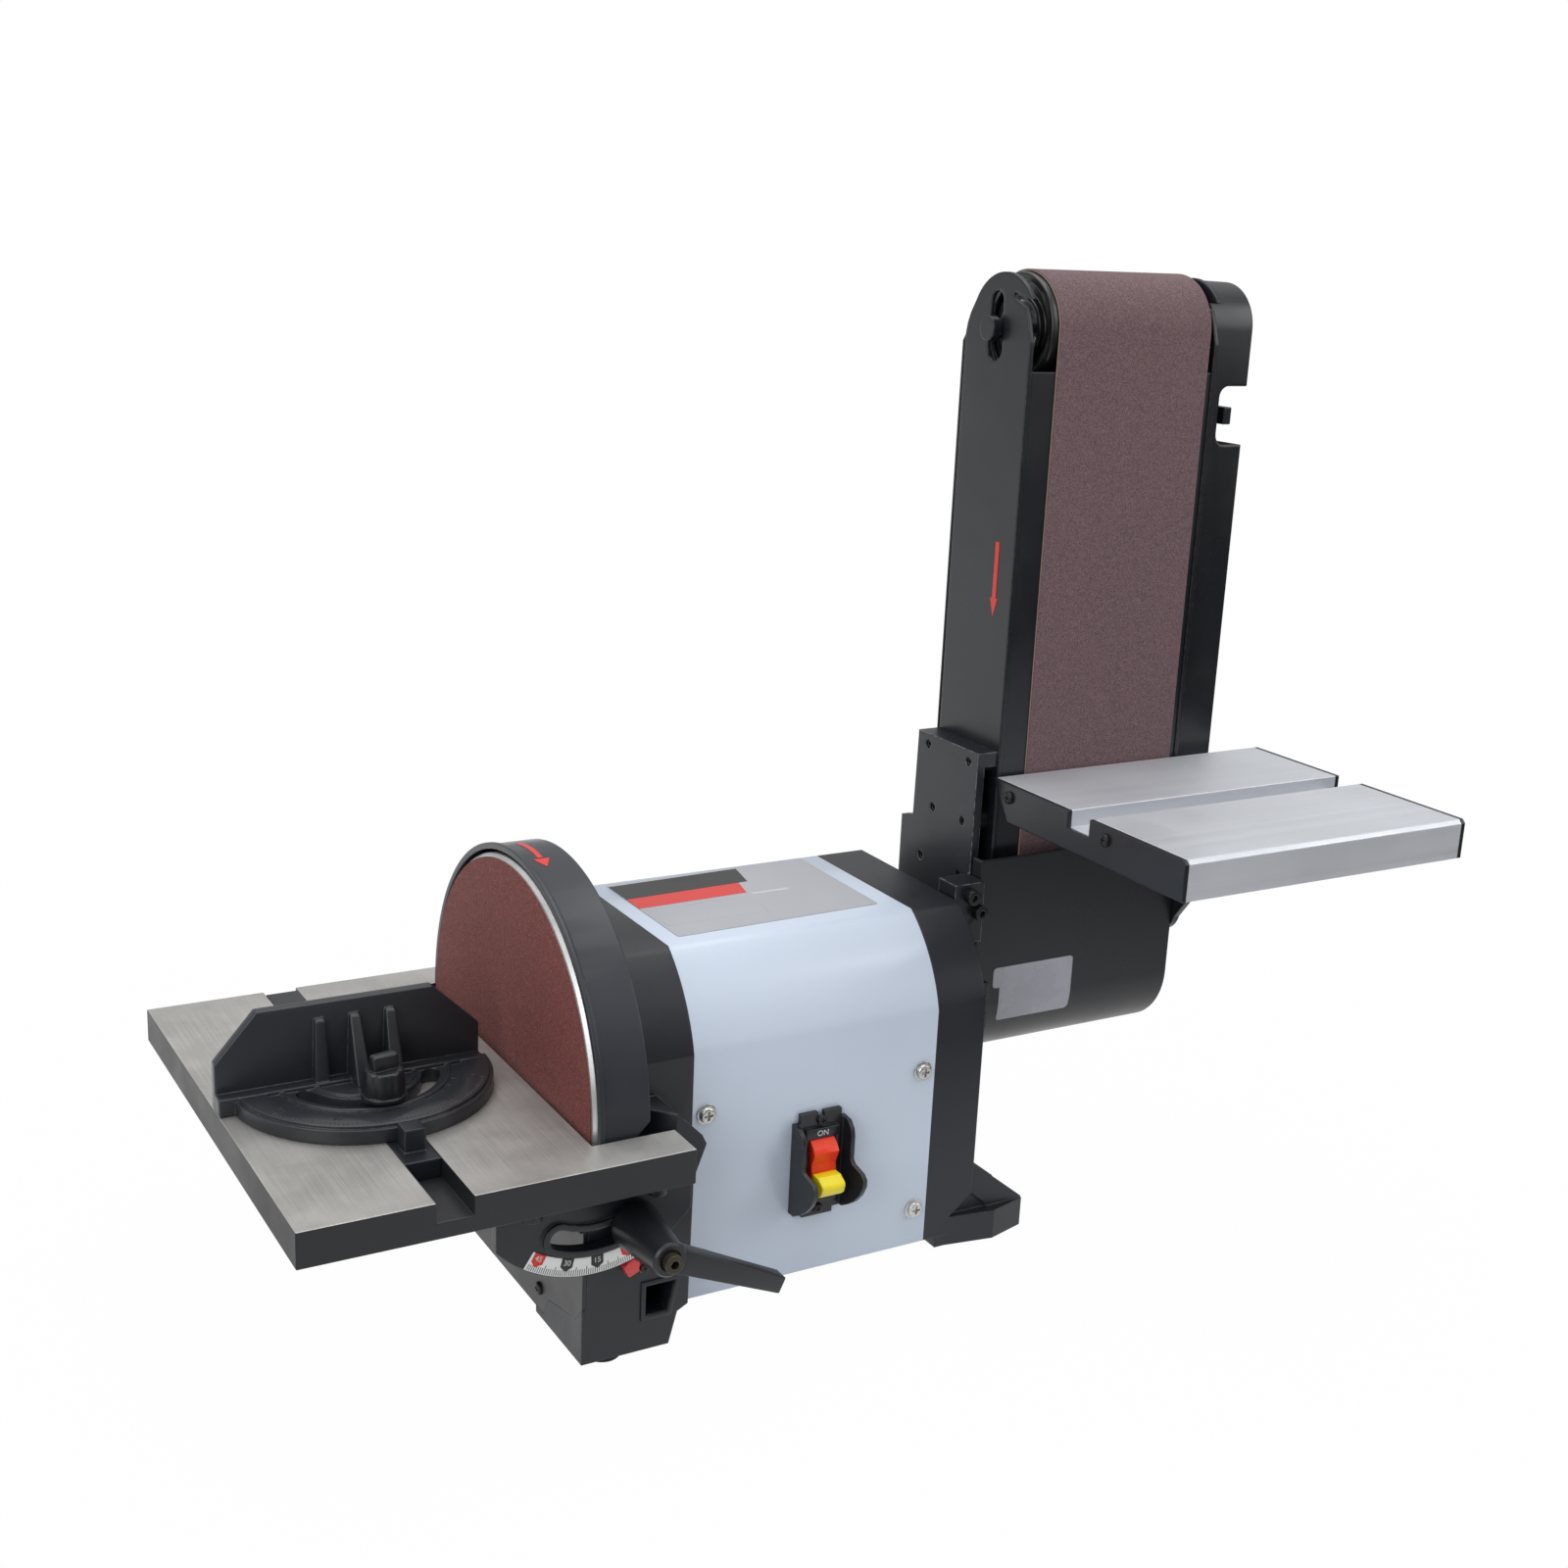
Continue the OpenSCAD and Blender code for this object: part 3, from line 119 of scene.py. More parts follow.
@dataclass
class Nodes:
    """Adds and links shader nodes in one tree."""

    tree: bpy.types.NodeTree

    def add(self, kind: str, **settings: object) -> Node:
        """Adds a node.

        Args:
            kind: The node's type name.
            settings: Properties set on the node.

        Returns:
            The new node.
        """
        node = self.tree.nodes.new(kind)
        for key, value in settings.items():
            setattr(node, key, value)
        return node

    def link(self, source: Socket, target: Socket) -> None:
        """Links an output to an input."""
        self.tree.links.new(source, target)

    def feed(self, socket: Socket, value: object) -> None:
        """Links a socket to an input, or sets a plain value on it."""
        if isinstance(value, Socket):
            self.link(value, socket)
        else:
            socket.default_value = value

    def math(self, operation: str, first: object, second: object = 0.0) -> Socket:
        """Returns the result of a Math node."""
        node = self.add("ShaderNodeMath", operation=operation)
        self.feed(node.inputs[0], first)
        self.feed(node.inputs[1], second)
        return node.outputs[0]

    def ramp(self, value: object, low: float, high: float, to_low: float = 0.0,
             to_high: float = 1.0) -> Socket:
        """Returns value mapped smoothly from low..high to to_low..to_high, clamped."""
        node = self.add("ShaderNodeMapRange", interpolation_type="SMOOTHSTEP")
        self.feed(node.inputs["Value"], value)
        limits = {"From Min": low, "From Max": high, "To Min": to_low, "To Max": to_high}
        for name, number in limits.items():
            node.inputs[name].default_value = number
        return node.outputs[0]

    def noise(self, place: Socket, scale: object, detail: float = 3.0,
              rough: float = 0.5) -> Socket:
        """Returns the factor of a Noise node at a place."""
        node = self.add("ShaderNodeTexNoise")
        self.link(place, node.inputs["Vector"])
        self.feed(node.inputs["Scale"], scale)
        node.inputs["Detail"].default_value = detail
        node.inputs["Roughness"].default_value = rough
        return node.outputs[0]

    def total(self, first: object, share: float, second: object, other: float) -> Socket:
        """Returns the sum of two values, each times its share."""
        return self.math("ADD", self.math("MULTIPLY", first, share),
                         self.math("MULTIPLY", second, other))

    def mix(self, factor: object, first: object, second: object, blend: str = "MIX") -> Socket:
        """Returns the blend of two colours."""
        node = self.add("ShaderNodeMix", data_type="RGBA", blend_type=blend)
        self.feed(node.inputs[0], factor)
        self.feed(node.inputs[6], first)
        self.feed(node.inputs[7], second)
        return node.outputs[2]

    def stretched(self, place: Socket, scale: Point) -> Socket:
        """Returns a place stretched by a scale along each axis."""
        node = self.add("ShaderNodeMapping")
        self.link(place, node.inputs["Vector"])
        node.inputs["Scale"].default_value = scale
        return node.outputs[0]

    def bump(self, height: Socket, distance: float, strength: float = 1.0,
             normal: Optional[Socket] = None) -> Socket:
        """Returns a normal bent by a height map, whose full height is distance metres."""
        node = self.add("ShaderNodeBump")
        self.link(height, node.inputs["Height"])
        node.inputs["Distance"].default_value = distance
        node.inputs["Strength"].default_value = strength
        if normal is not None:
            self.link(normal, node.inputs["Normal"])
        return node.outputs[0]

    def soft_edges(self, radius: float) -> Socket:
        """Returns a normal that rounds every edge by a radius in metres."""
        node = self.add("ShaderNodeBevel", samples=6)
        node.inputs["Radius"].default_value = radius
        return node.outputs[0]

    def place(self) -> Socket:
        """Returns the Object coordinates."""
        return self.add("ShaderNodeTexCoord").outputs["Object"]


def colour4(colour: Colour) -> tuple[float, float, float, float]:
    """Returns a colour with full alpha."""
    return (*colour, 1.0)


def shade(colour: Colour, factor: float) -> tuple[float, float, float, float]:
    """Returns a colour made darker or lighter by a factor, with full alpha."""
    return colour4(tuple(min(1.0, c * factor) for c in colour))


class Effects:
    """Shader node groups that several finishes share. Each is built once."""

    def __init__(self) -> None:
        """Starts with no group built."""
        self._built: dict[str, bpy.types.NodeTree] = {}

    def _start(self, name: str, inputs: dict[str, float], outputs: Sequence[str]) -> tuple[
            bpy.types.NodeTree, Nodes, Node, Node]:
        """Starts a group with float inputs and outputs.

        Args:
            name: The group's name.
            inputs: Each input's name and its default value.
            outputs: The names of the float outputs.

        Returns:
            The tree, its node helper, and its input and output nodes.
        """
        tree = bpy.data.node_groups.new(name, "ShaderNodeTree")
        for key, value in inputs.items():
            socket = tree.interface.new_socket(key, in_out="INPUT", socket_type="NodeSocketFloat")
            socket.default_value = value
        for key in outputs:
            tree.interface.new_socket(key, in_out="OUTPUT", socket_type="NodeSocketFloat")
        nodes = Nodes(tree)
        return tree, nodes, nodes.add("NodeGroupInput"), nodes.add("NodeGroupOutput")

    def smudge(self) -> bpy.types.NodeTree:
        """Returns the group that puts out soft, uneven patches, as handling and dust leave."""
        if "smudge" not in self._built:
            tree, nodes, start, end = self._start("Smudge", {"Scale": 12.0}, ["Patches"])
            place = nodes.place()
            broad = nodes.noise(place, start.outputs["Scale"], 4.0, 0.6)
            nodes.link(nodes.ramp(broad, 0.3, 0.72), end.inputs["Patches"])
            self._built["smudge"] = tree
        return self._built["smudge"]

    def grain(self) -> bpy.types.NodeTree:
        """Returns the group that puts out the fine pebbled height of powder coat or moulded plastic."""
        if "grain" not in self._built:
            tree, nodes, start, end = self._start("Grain", {"Scale": 900.0}, ["Height"])
            place = nodes.place()
            fine = nodes.noise(place, start.outputs["Scale"], 2.0, 0.5)
            coarse = nodes.noise(place, nodes.math("MULTIPLY", start.outputs["Scale"], 0.31), 2.0, 0.4)
            nodes.link(nodes.total(fine, 0.6, coarse, 0.4), end.inputs["Height"])
            self._built["grain"] = tree
        return self._built["grain"]

    def edges(self) -> bpy.types.NodeTree:
        """Returns the group that puts out a mask of edges, where paint is worn and where a highlight is
        painted.
        """
        if "edges" not in self._built:
            tree, nodes, start, end = self._start("Edge wear", {"Radius": 0.0012}, ["Mask"])
            bevel = nodes.add("ShaderNodeBevel", samples=6)
            nodes.link(start.outputs["Radius"], bevel.inputs["Radius"])
            true_normal = nodes.add("ShaderNodeNewGeometry").outputs["Normal"]
            dot = nodes.add("ShaderNodeVectorMath", operation="DOT_PRODUCT")
            nodes.link(bevel.outputs[0], dot.inputs[0])
            nodes.link(true_normal, dot.inputs[1])
            bend = nodes.math("SUBTRACT", 1.0, dot.outputs["Value"])
            speckle = nodes.ramp(nodes.noise(nodes.place(), 260.0, 4.0, 0.6), 0.35, 0.65)
            nodes.link(nodes.math("MULTIPLY", nodes.ramp(bend, 0.03, 0.22), speckle),
                       end.inputs["Mask"])
            self._built["edges"] = tree
        return self._built["edges"]

    def place(self, nodes: Nodes, tree: bpy.types.NodeTree, **values: float) -> Socket:
        """Places a group in a material and sets its inputs.

        Args:
            nodes: The material's nodes.
            tree: The group.
            values: Its inputs, with spaces in their names written as underscores.

        Returns:
            The group's first output.
        """
        node = nodes.add("ShaderNodeGroup", node_tree=tree)
        for key, value in values.items():
            node.inputs[key.replace("_", " ")].default_value = value
        return node.outputs[0]


EFFECTS = Effects()


# ---------------------------------------------------------------- finishes


@dataclass(frozen=True)
class Finish:
    """A painted, moulded or plain finish: one colour with grain, patches, and worn edges with a painted
    highlight.
    """

    name: str
    slot: str
    colour: Colour
    roughness: float = 0.5
    metallic: float = 0.0
    coat: float = 0.0
    specular: float = 0.5
    grain_scale: float = 900.0
    grain_depth: float = 0.00002
    patch_scale: float = 14.0
    patch_tint: float = 0.08
    patch_rough: float = 0.06
    wear: float = 0.0
    wear_colour: Colour = (0.35, 0.35, 0.36)
    edge: float = 0.0006

    def material(self) -> bpy.types.Material:
        """Returns the finish's material, built on first use."""
        found = bpy.data.materials.get(self.name)
        if found is not None:
            return found
        made = bpy.data.materials.new(self.name)
        made.use_nodes = True
        nodes = Nodes(made.node_tree)
        shader = made.node_tree.nodes["Principled BSDF"]
        shader.inputs["Metallic"].default_value = self.metallic
        shader.inputs["Coat Weight"].default_value = self.coat
        shader.inputs["Coat Roughness"].default_value = 0.12
        shader.inputs["Specular IOR Level"].default_value = self.specular
        made.diffuse_color = colour4(self.colour)
        self.dress(nodes, shader)
        return made

    def dress(self, nodes: Nodes, shader: Node) -> None:
        """Adds the finish's colour, roughness and height to the shader."""
        patches = EFFECTS.place(nodes, EFFECTS.smudge(), Scale=self.patch_scale)
        colour = nodes.mix(patches, shade(self.colour, 1 - self.patch_tint),
                           shade(self.colour, 1 + self.patch_tint))
        # Lighter edges: worn paint, and also a painted highlight along every sharp edge.
        if self.wear > 0:
            mask = EFFECTS.place(nodes, EFFECTS.edges(), Radius=0.0011)
            worn = nodes.math("MULTIPLY", mask, self.wear)
            colour = nodes.mix(worn, colour, colour4(self.wear_colour))
        nodes.link(colour, shader.inputs["Base Color"])
        low, high = self.roughness - self.patch_rough, self.roughness + self.patch_rough
        nodes.link(nodes.ramp(patches, 0.0, 1.0, low, high), shader.inputs["Roughness"])
        height = EFFECTS.place(nodes, EFFECTS.grain(), Scale=self.grain_scale)
        soft = nodes.soft_edges(self.edge)
        nodes.link(nodes.bump(height, self.grain_depth, normal=soft), shader.inputs["Normal"])


@dataclass(frozen=True)
class Grit(Finish):
    """Abrasive cloth: tight grains over a resin-dyed backing, with scattered dark grains and painted
    glints.
    """

    grain_size: float = 0.00042
    contrast: float = 0.5
    glint: float = 0.5
    mottle: float = 190.0

    def dress(self, nodes: Nodes, shader: Node) -> None:
        """Adds the grains, the mottling and the sharp pebbled height."""
        place = nodes.place()
        cells = nodes.add("ShaderNodeTexVoronoi", feature="F1")
        nodes.link(place, cells.inputs["Vector"])
        cells.inputs["Scale"].default_value = 1 / self.grain_size
        tone = nodes.add("ShaderNodeSeparateColor")
        nodes.link(cells.outputs["Color"], tone.inputs[0])
        mottle = nodes.noise(place, self.mottle, 5.0, 0.7)
        patches = EFFECTS.place(nodes, EFFECTS.smudge(), Scale=9.0)
        light = shade(self.colour, 1 + self.contrast)
        speck = nodes.total(tone.outputs[0], 0.62, mottle, 0.38)
        base = nodes.mix(nodes.ramp(speck, 0.15, 0.85), shade(self.colour, 1 - self.contrast), light)
        # Painted glints: a few grains get a much brighter base colour, standing in for light caught on
        # them.
        glint = nodes.ramp(tone.outputs[1], 0.955, 0.985, 0.0, self.glint)
        base = nodes.mix(glint, base, colour4(tuple(min(1.0, c * 3.2 + 0.05) for c in self.colour)))
        tinted = nodes.mix(nodes.ramp(patches, 0.0, 1.0, 0.0, 0.1), base, light)
        nodes.link(tinted, shader.inputs["Base Color"])
        nodes.link(nodes.ramp(tone.outputs[2], 0.0, 1.0, self.roughness - 0.14, self.roughness + 0.08),
                   shader.inputs["Roughness"])
        nodes.link(nodes.bump(cells.outputs["Distance"], 0.00016, 0.8), shader.inputs["Normal"])


@dataclass(frozen=True)
class Brushed(Finish):
    """Drawn, turned or extruded metal: fine lines along one direction."""

    lines: Point = (6.0, 2600.0, 2600.0)
    line_depth: float = 0.00001
    line_tint: float = 0.1

    def dress(self, nodes: Nodes, shader: Node) -> None:
        """Adds the lines to colour, roughness and height."""
        place = nodes.place()
        fine = nodes.noise(nodes.stretched(place, self.lines), 1.0, 3.0, 0.6)
        broad = nodes.noise(nodes.stretched(place, tuple(v * 0.12 for v in self.lines)), 1.0, 2.0, 0.5)
        patches = EFFECTS.place(nodes, EFFECTS.smudge(), Scale=self.patch_scale)
        streak = nodes.total(fine, 0.6, broad, 0.4)
        colour = nodes.mix(nodes.ramp(streak, 0.3, 0.7), shade(self.colour, 1 - self.line_tint),
                           shade(self.colour, 1 + self.line_tint))
        soft = nodes.ramp(patches, 0.0, 1.0, 0.0, self.patch_tint)
        colour = nodes.mix(soft, colour, shade(self.colour, 0.7))
        nodes.link(colour, shader.inputs["Base Color"])
        mixed = nodes.total(streak, 0.7, patches, 0.3)
        nodes.link(nodes.ramp(mixed, 0.2, 0.8, self.roughness - 0.09, self.roughness + 0.09),
                   shader.inputs["Roughness"])
        soft = nodes.soft_edges(self.edge)
        nodes.link(nodes.bump(streak, self.line_depth, normal=soft), shader.inputs["Normal"])


@dataclass(frozen=True)
class GroundTable(Finish):
    """A casting whose top is ground bare and whose other sides are painted black."""

    top_z: float = 0.1208
    paint: Colour = (0.012, 0.013, 0.016)

    def dress(self, nodes: Nodes, shader: Node) -> None:
        """Mixes the bare top and the painted sides by height and facing."""
        place = nodes.place()
        split = nodes.add("ShaderNodeSeparateXYZ")
        nodes.link(place, split.inputs[0])
        top = nodes.math("GREATER_THAN", split.outputs[2], self.top_z)
        lines = nodes.noise(nodes.stretched(place, (2600.0, 16.0, 16.0)), 1.0, 3.0, 0.6)
        cloud = nodes.noise(place, 26.0, 6.0, 0.68)
        bare = nodes.mix(nodes.ramp(cloud, 0.32, 0.68), shade(self.colour, 0.9),
                         shade(self.colour, 1.08))
        scratch = nodes.ramp(lines, 0.35, 0.65, 0.9, 1.08)
        streaks = nodes.add("ShaderNodeCombineColor")
        for socket in streaks.inputs:
            nodes.link(scratch, socket)
        bare = nodes.mix(1.0, bare, streaks.outputs[0], "MULTIPLY")
        nodes.link(nodes.mix(top, colour4(self.paint), bare), shader.inputs["Base Color"])
        metal = nodes.math("MULTIPLY", top, 0.65)
        nodes.link(metal, shader.inputs["Metallic"])
        rough = nodes.ramp(nodes.total(lines, 0.5, cloud, 0.5), 0.3, 0.7, self.roughness - 0.06,
                           self.roughness + 0.08)
        nodes.link(rough, shader.inputs["Roughness"])
        height = EFFECTS.place(nodes, EFFECTS.grain(), Scale=self.grain_scale)
        blend = nodes.math("ADD", nodes.math("MULTIPLY", height, nodes.math("SUBTRACT", 1.0, top)),
                           nodes.math("MULTIPLY", nodes.math("MULTIPLY", lines, 0.5), top))
        soft = nodes.soft_edges(self.edge)
        nodes.link(nodes.bump(blend, self.grain_depth, normal=soft), shader.inputs["Normal"])


class Palette:
    """Every finish on the machine."""

    casting = Finish("Black cast paint", "black_casting", srgb(25, 28, 35), 0.38, grain_scale=1100,
                     grain_depth=0.00005, wear=0.5, wear_colour=(0.16, 0.16, 0.165), edge=0.0014)
    sheet = Finish("Black sheet paint", "black_sheet", srgb(22, 24, 29), 0.33, grain_scale=1500,
                   grain_depth=0.000015, wear=0.4, wear_colour=(0.14, 0.14, 0.145), edge=0.001)
    folded = replace(sheet, name="Folded sheet paint", edge=0.002)
    # A lighter copy of the black sheet paint: painted light, for the disc guard's sides that face the
    # light.
    guard = replace(sheet, name="Guard paint", colour=srgb(38, 41, 48), edge=0.0012)
    # Strong edge colour: chipped paint, and also a painted highlight on the bracket's edges.
    chipped = replace(casting, name="Chipped cast paint", wear=1.0, wear_colour=(0.42, 0.42, 0.43))
    cover = Finish("Pale blue-grey paint", "pale_paint", srgb(192, 203, 219), 0.3, coat=0.4,
                   grain_scale=700, grain_depth=0.000012, patch_tint=0.01, patch_rough=0.012, wear=0.1,
                   wear_colour=(0.7, 0.72, 0.76))
    rubber = Finish("Black rubber", "black_rubber", srgb(26, 26, 27), 0.8, grain_depth=0.00005)
    plastic = Finish("Black moulded plastic", "black_plastic", srgb(25, 27, 32), 0.33, grain_scale=1700,
                     grain_depth=0.00002, wear=0.5, wear_colour=(0.12, 0.12, 0.125), edge=0.0007)
    gauge = replace(plastic, name="Gauge plastic", colour=srgb(37, 39, 44))
    red = Finish("Red plastic", "red_plastic", srgb(230, 56, 22), 0.32, grain_depth=0.00001,
                 patch_tint=0.04)
    faded_red = replace(red, name="Faded red plastic", colour=srgb(200, 66, 66))
    yellow = Finish("Yellow plastic", "yellow_plastic", srgb(240, 222, 30), 0.35, grain_depth=0.00001,
                    patch_tint=0.04)
    disc_grit = Grit("Disc abrasive", "disc_grit", srgb(107, 56, 52), 0.85, contrast=0.42)
    belt_grit = Grit("Belt abrasive", "belt_grit", srgb(99, 77, 81), 0.8, contrast=0.4,
                     glint=0.2, mottle=300.0)
    backing = Finish("Abrasive backing", "belt_grit", srgb(150, 128, 118), 0.8, grain_scale=1400,
                     grain_depth=0.00006, patch_tint=0.12)
    zinc = Finish("Zinc plate", "steel", srgb(200, 200, 198), 0.3, metallic=1.0, grain_depth=0.00001,
                  patch_tint=0.1)
    black_steel = Finish("Black oxide steel", "steel", srgb(44, 44, 46), 0.36, metallic=0.6,
                         grain_depth=0.00001, wear=0.4)
    bronze = Finish("Bronzed screw", "steel", srgb(64, 60, 51), 0.34, metallic=0.7, grain_depth=0.00001,
                    patch_tint=0.1, wear=0.5)
    steel = Brushed("Turned steel", "steel", srgb(170, 172, 175), 0.34, metallic=1.0,
                    lines=(2600.0, 12.0, 12.0))
    laminated = Brushed("Laminated steel", "steel", srgb(120, 122, 125), 0.5, metallic=0.9,
                        lines=(1900.0, 4.0, 4.0), line_depth=0.00004, line_tint=0.3)
    copper = Brushed("Copper winding", "copper", srgb(190, 110, 60), 0.4, metallic=1.0,
                     lines=(1400.0, 30.0, 30.0))
    bearing = Finish("Bearing steel", "bearing_steel", srgb(205, 206, 208), 0.18, metallic=1.0,
                     grain_depth=0.000005)
    aluminium = Brushed("Extruded aluminium", "aluminium", srgb(205, 208, 214), 0.46, metallic=0.55,
                        lines=(5.0, 2200.0, 2200.0), line_tint=0.03, patch_tint=0.05)
    cast_alu = Finish("Cast aluminium", "aluminium", srgb(206, 208, 210), 0.42, metallic=0.9,
                      grain_scale=1400, grain_depth=0.00008, patch_scale=40, patch_tint=0.12)
    drum = Finish("Black drum", "dark_aluminium", srgb(20, 21, 23), 0.3, grain_depth=0.000008, coat=0.2)
    table = GroundTable("Ground table iron", "ground_iron", srgb(176, 175, 172), 0.42,
                        grain_scale=1100, grain_depth=0.00003)
    scale = Finish("White scale plate", "scale_white", srgb(225, 226, 226), 0.4, grain_depth=0.000005,
                   patch_tint=0.03)
    plate = Finish("Grey rating plate", "scale_white", srgb(163, 165, 171), 0.35, grain_depth=0.000005,
                   patch_scale=30, patch_tint=0.03)
    plate_print = Finish("Rating plate print", "scale_white", srgb(190, 191, 195), 0.4,
                         grain_depth=0.000004, patch_tint=0.02)
    sticker = Finish("Pale sticker", "scale_white", srgb(158, 158, 168), 0.3, grain_depth=0.000006,
                     patch_scale=45, patch_tint=0.07)
    ink = Finish("Black print", "black_plastic", srgb(28, 27, 29), 0.35, grain_depth=0.000004,
                 patch_tint=0.05)
    signal = Finish("Red print", "red_plastic", srgb(205, 44, 38), 0.35, grain_depth=0.000004,
                    patch_tint=0.05)


# ---------------------------------------------------------------- modelling


def arc(centre: Flat, radius: float, start: float, end: float, steps: int = 24) -> list[Flat]:
    """Returns points on an arc.

    Args:
        centre: Its centre.
        radius: Its radius.
        start: Its first angle in degrees, from the first axis towards the second.
        end: Its last angle.
        steps: Its number of steps.

    Returns:
        One point more than there are steps.
    """
    angles = [math.radians(start + (end - start) * i / steps) for i in range(steps + 1)]
    return [(centre[0] + radius * math.cos(a), centre[1] + radius * math.sin(a)) for a in angles]


def ring(centre: Flat, radius: float, steps: int) -> list[Flat]:
    """Returns the corners of a closed polygon on a circle."""
    return arc(centre, radius, 0, 360, steps)[:-1]


def lobes(centre: Flat, radius: float, depth: float, count: int, steps: int = 12) -> list[Flat]:
    """Returns the outline of a fluted grip, whose flutes are cut a depth into its radius."""
    outline = []
    for i in range(count * steps):
        angle = math.tau * i / (count * steps)
        reach = radius - depth * (0.5 + 0.5 * math.cos(count * angle)) ** 3
        outline.append((centre[0] + reach * math.cos(angle), centre[1] + reach * math.sin(angle)))
    return outline


def rounded_corners(corners: Sequence[Flat], radius: float) -> list[Flat]:
    """Returns a convex outline with its corners rounded."""
    outline: list[Flat] = []
    for before, here, after in zip((corners[-1], *corners[:-1]), corners, (*corners[1:], corners[0])):
        corner = Vector(here)
        back = (Vector(before) - corner).normalized() * radius
        ahead = (Vector(after) - corner).normalized() * radius
        for i in range(7):
            share = i / 6
            point = corner + back * (1 - share) ** 2 + ahead * share ** 2
            outline.append((point.x, point.y))
    return outline


def belt_path(radius: float) -> list[Flat]:
    """Returns the closed path around both drums at a radius, in (y, z)."""
    return arc((0.0, 0.0), radius, 180, 360, 36) + arc((0.0, IDLER_Z), radius, 0, 180, 36)


class Drive(Enum):
    """The recess in a screw's head."""

    CROSS = "cross"
    HEX = "hex"

    def outline(self, radius: float) -> list[Flat]:
        """Returns the recess's outline for a head of some radius."""
        if self is Drive.HEX:
            return ring((0.0, 0.0), radius * 0.5, 6)
        arm, half = radius * 0.56, radius * 0.14
        quarter = [(half, half), (half, arm), (-half, arm)]
        return [(x * math.cos(t) - y * math.sin(t), x * math.sin(t) + y * math.cos(t))
                for t in (math.radians(90 * i) for i in range(4)) for x, y in quarter]


@dataclass(frozen=True)
class Head:
    """A screw's head: its radius, height, recess, and how much of its height is domed."""

    radius: float
    height: float
    drive: Drive
    dome: float = 0.75

    def rings(self) -> list[Flat]:
        """Returns pairs of radius and height from the seat to the top."""
        low = self.height * (1 - self.dome)
        rise = self.height - low
        top = self.radius * (0.7 if self.drive is Drive.CROSS else 0.9)
        rings = [(self.radius, 0.0), (self.radius, low)]
        for i in range(1, 6):
            turn = math.radians(18 * i)
            rings.append((top + (self.radius - top) * math.cos(turn), low + rise * math.sin(turn)))
        return rings


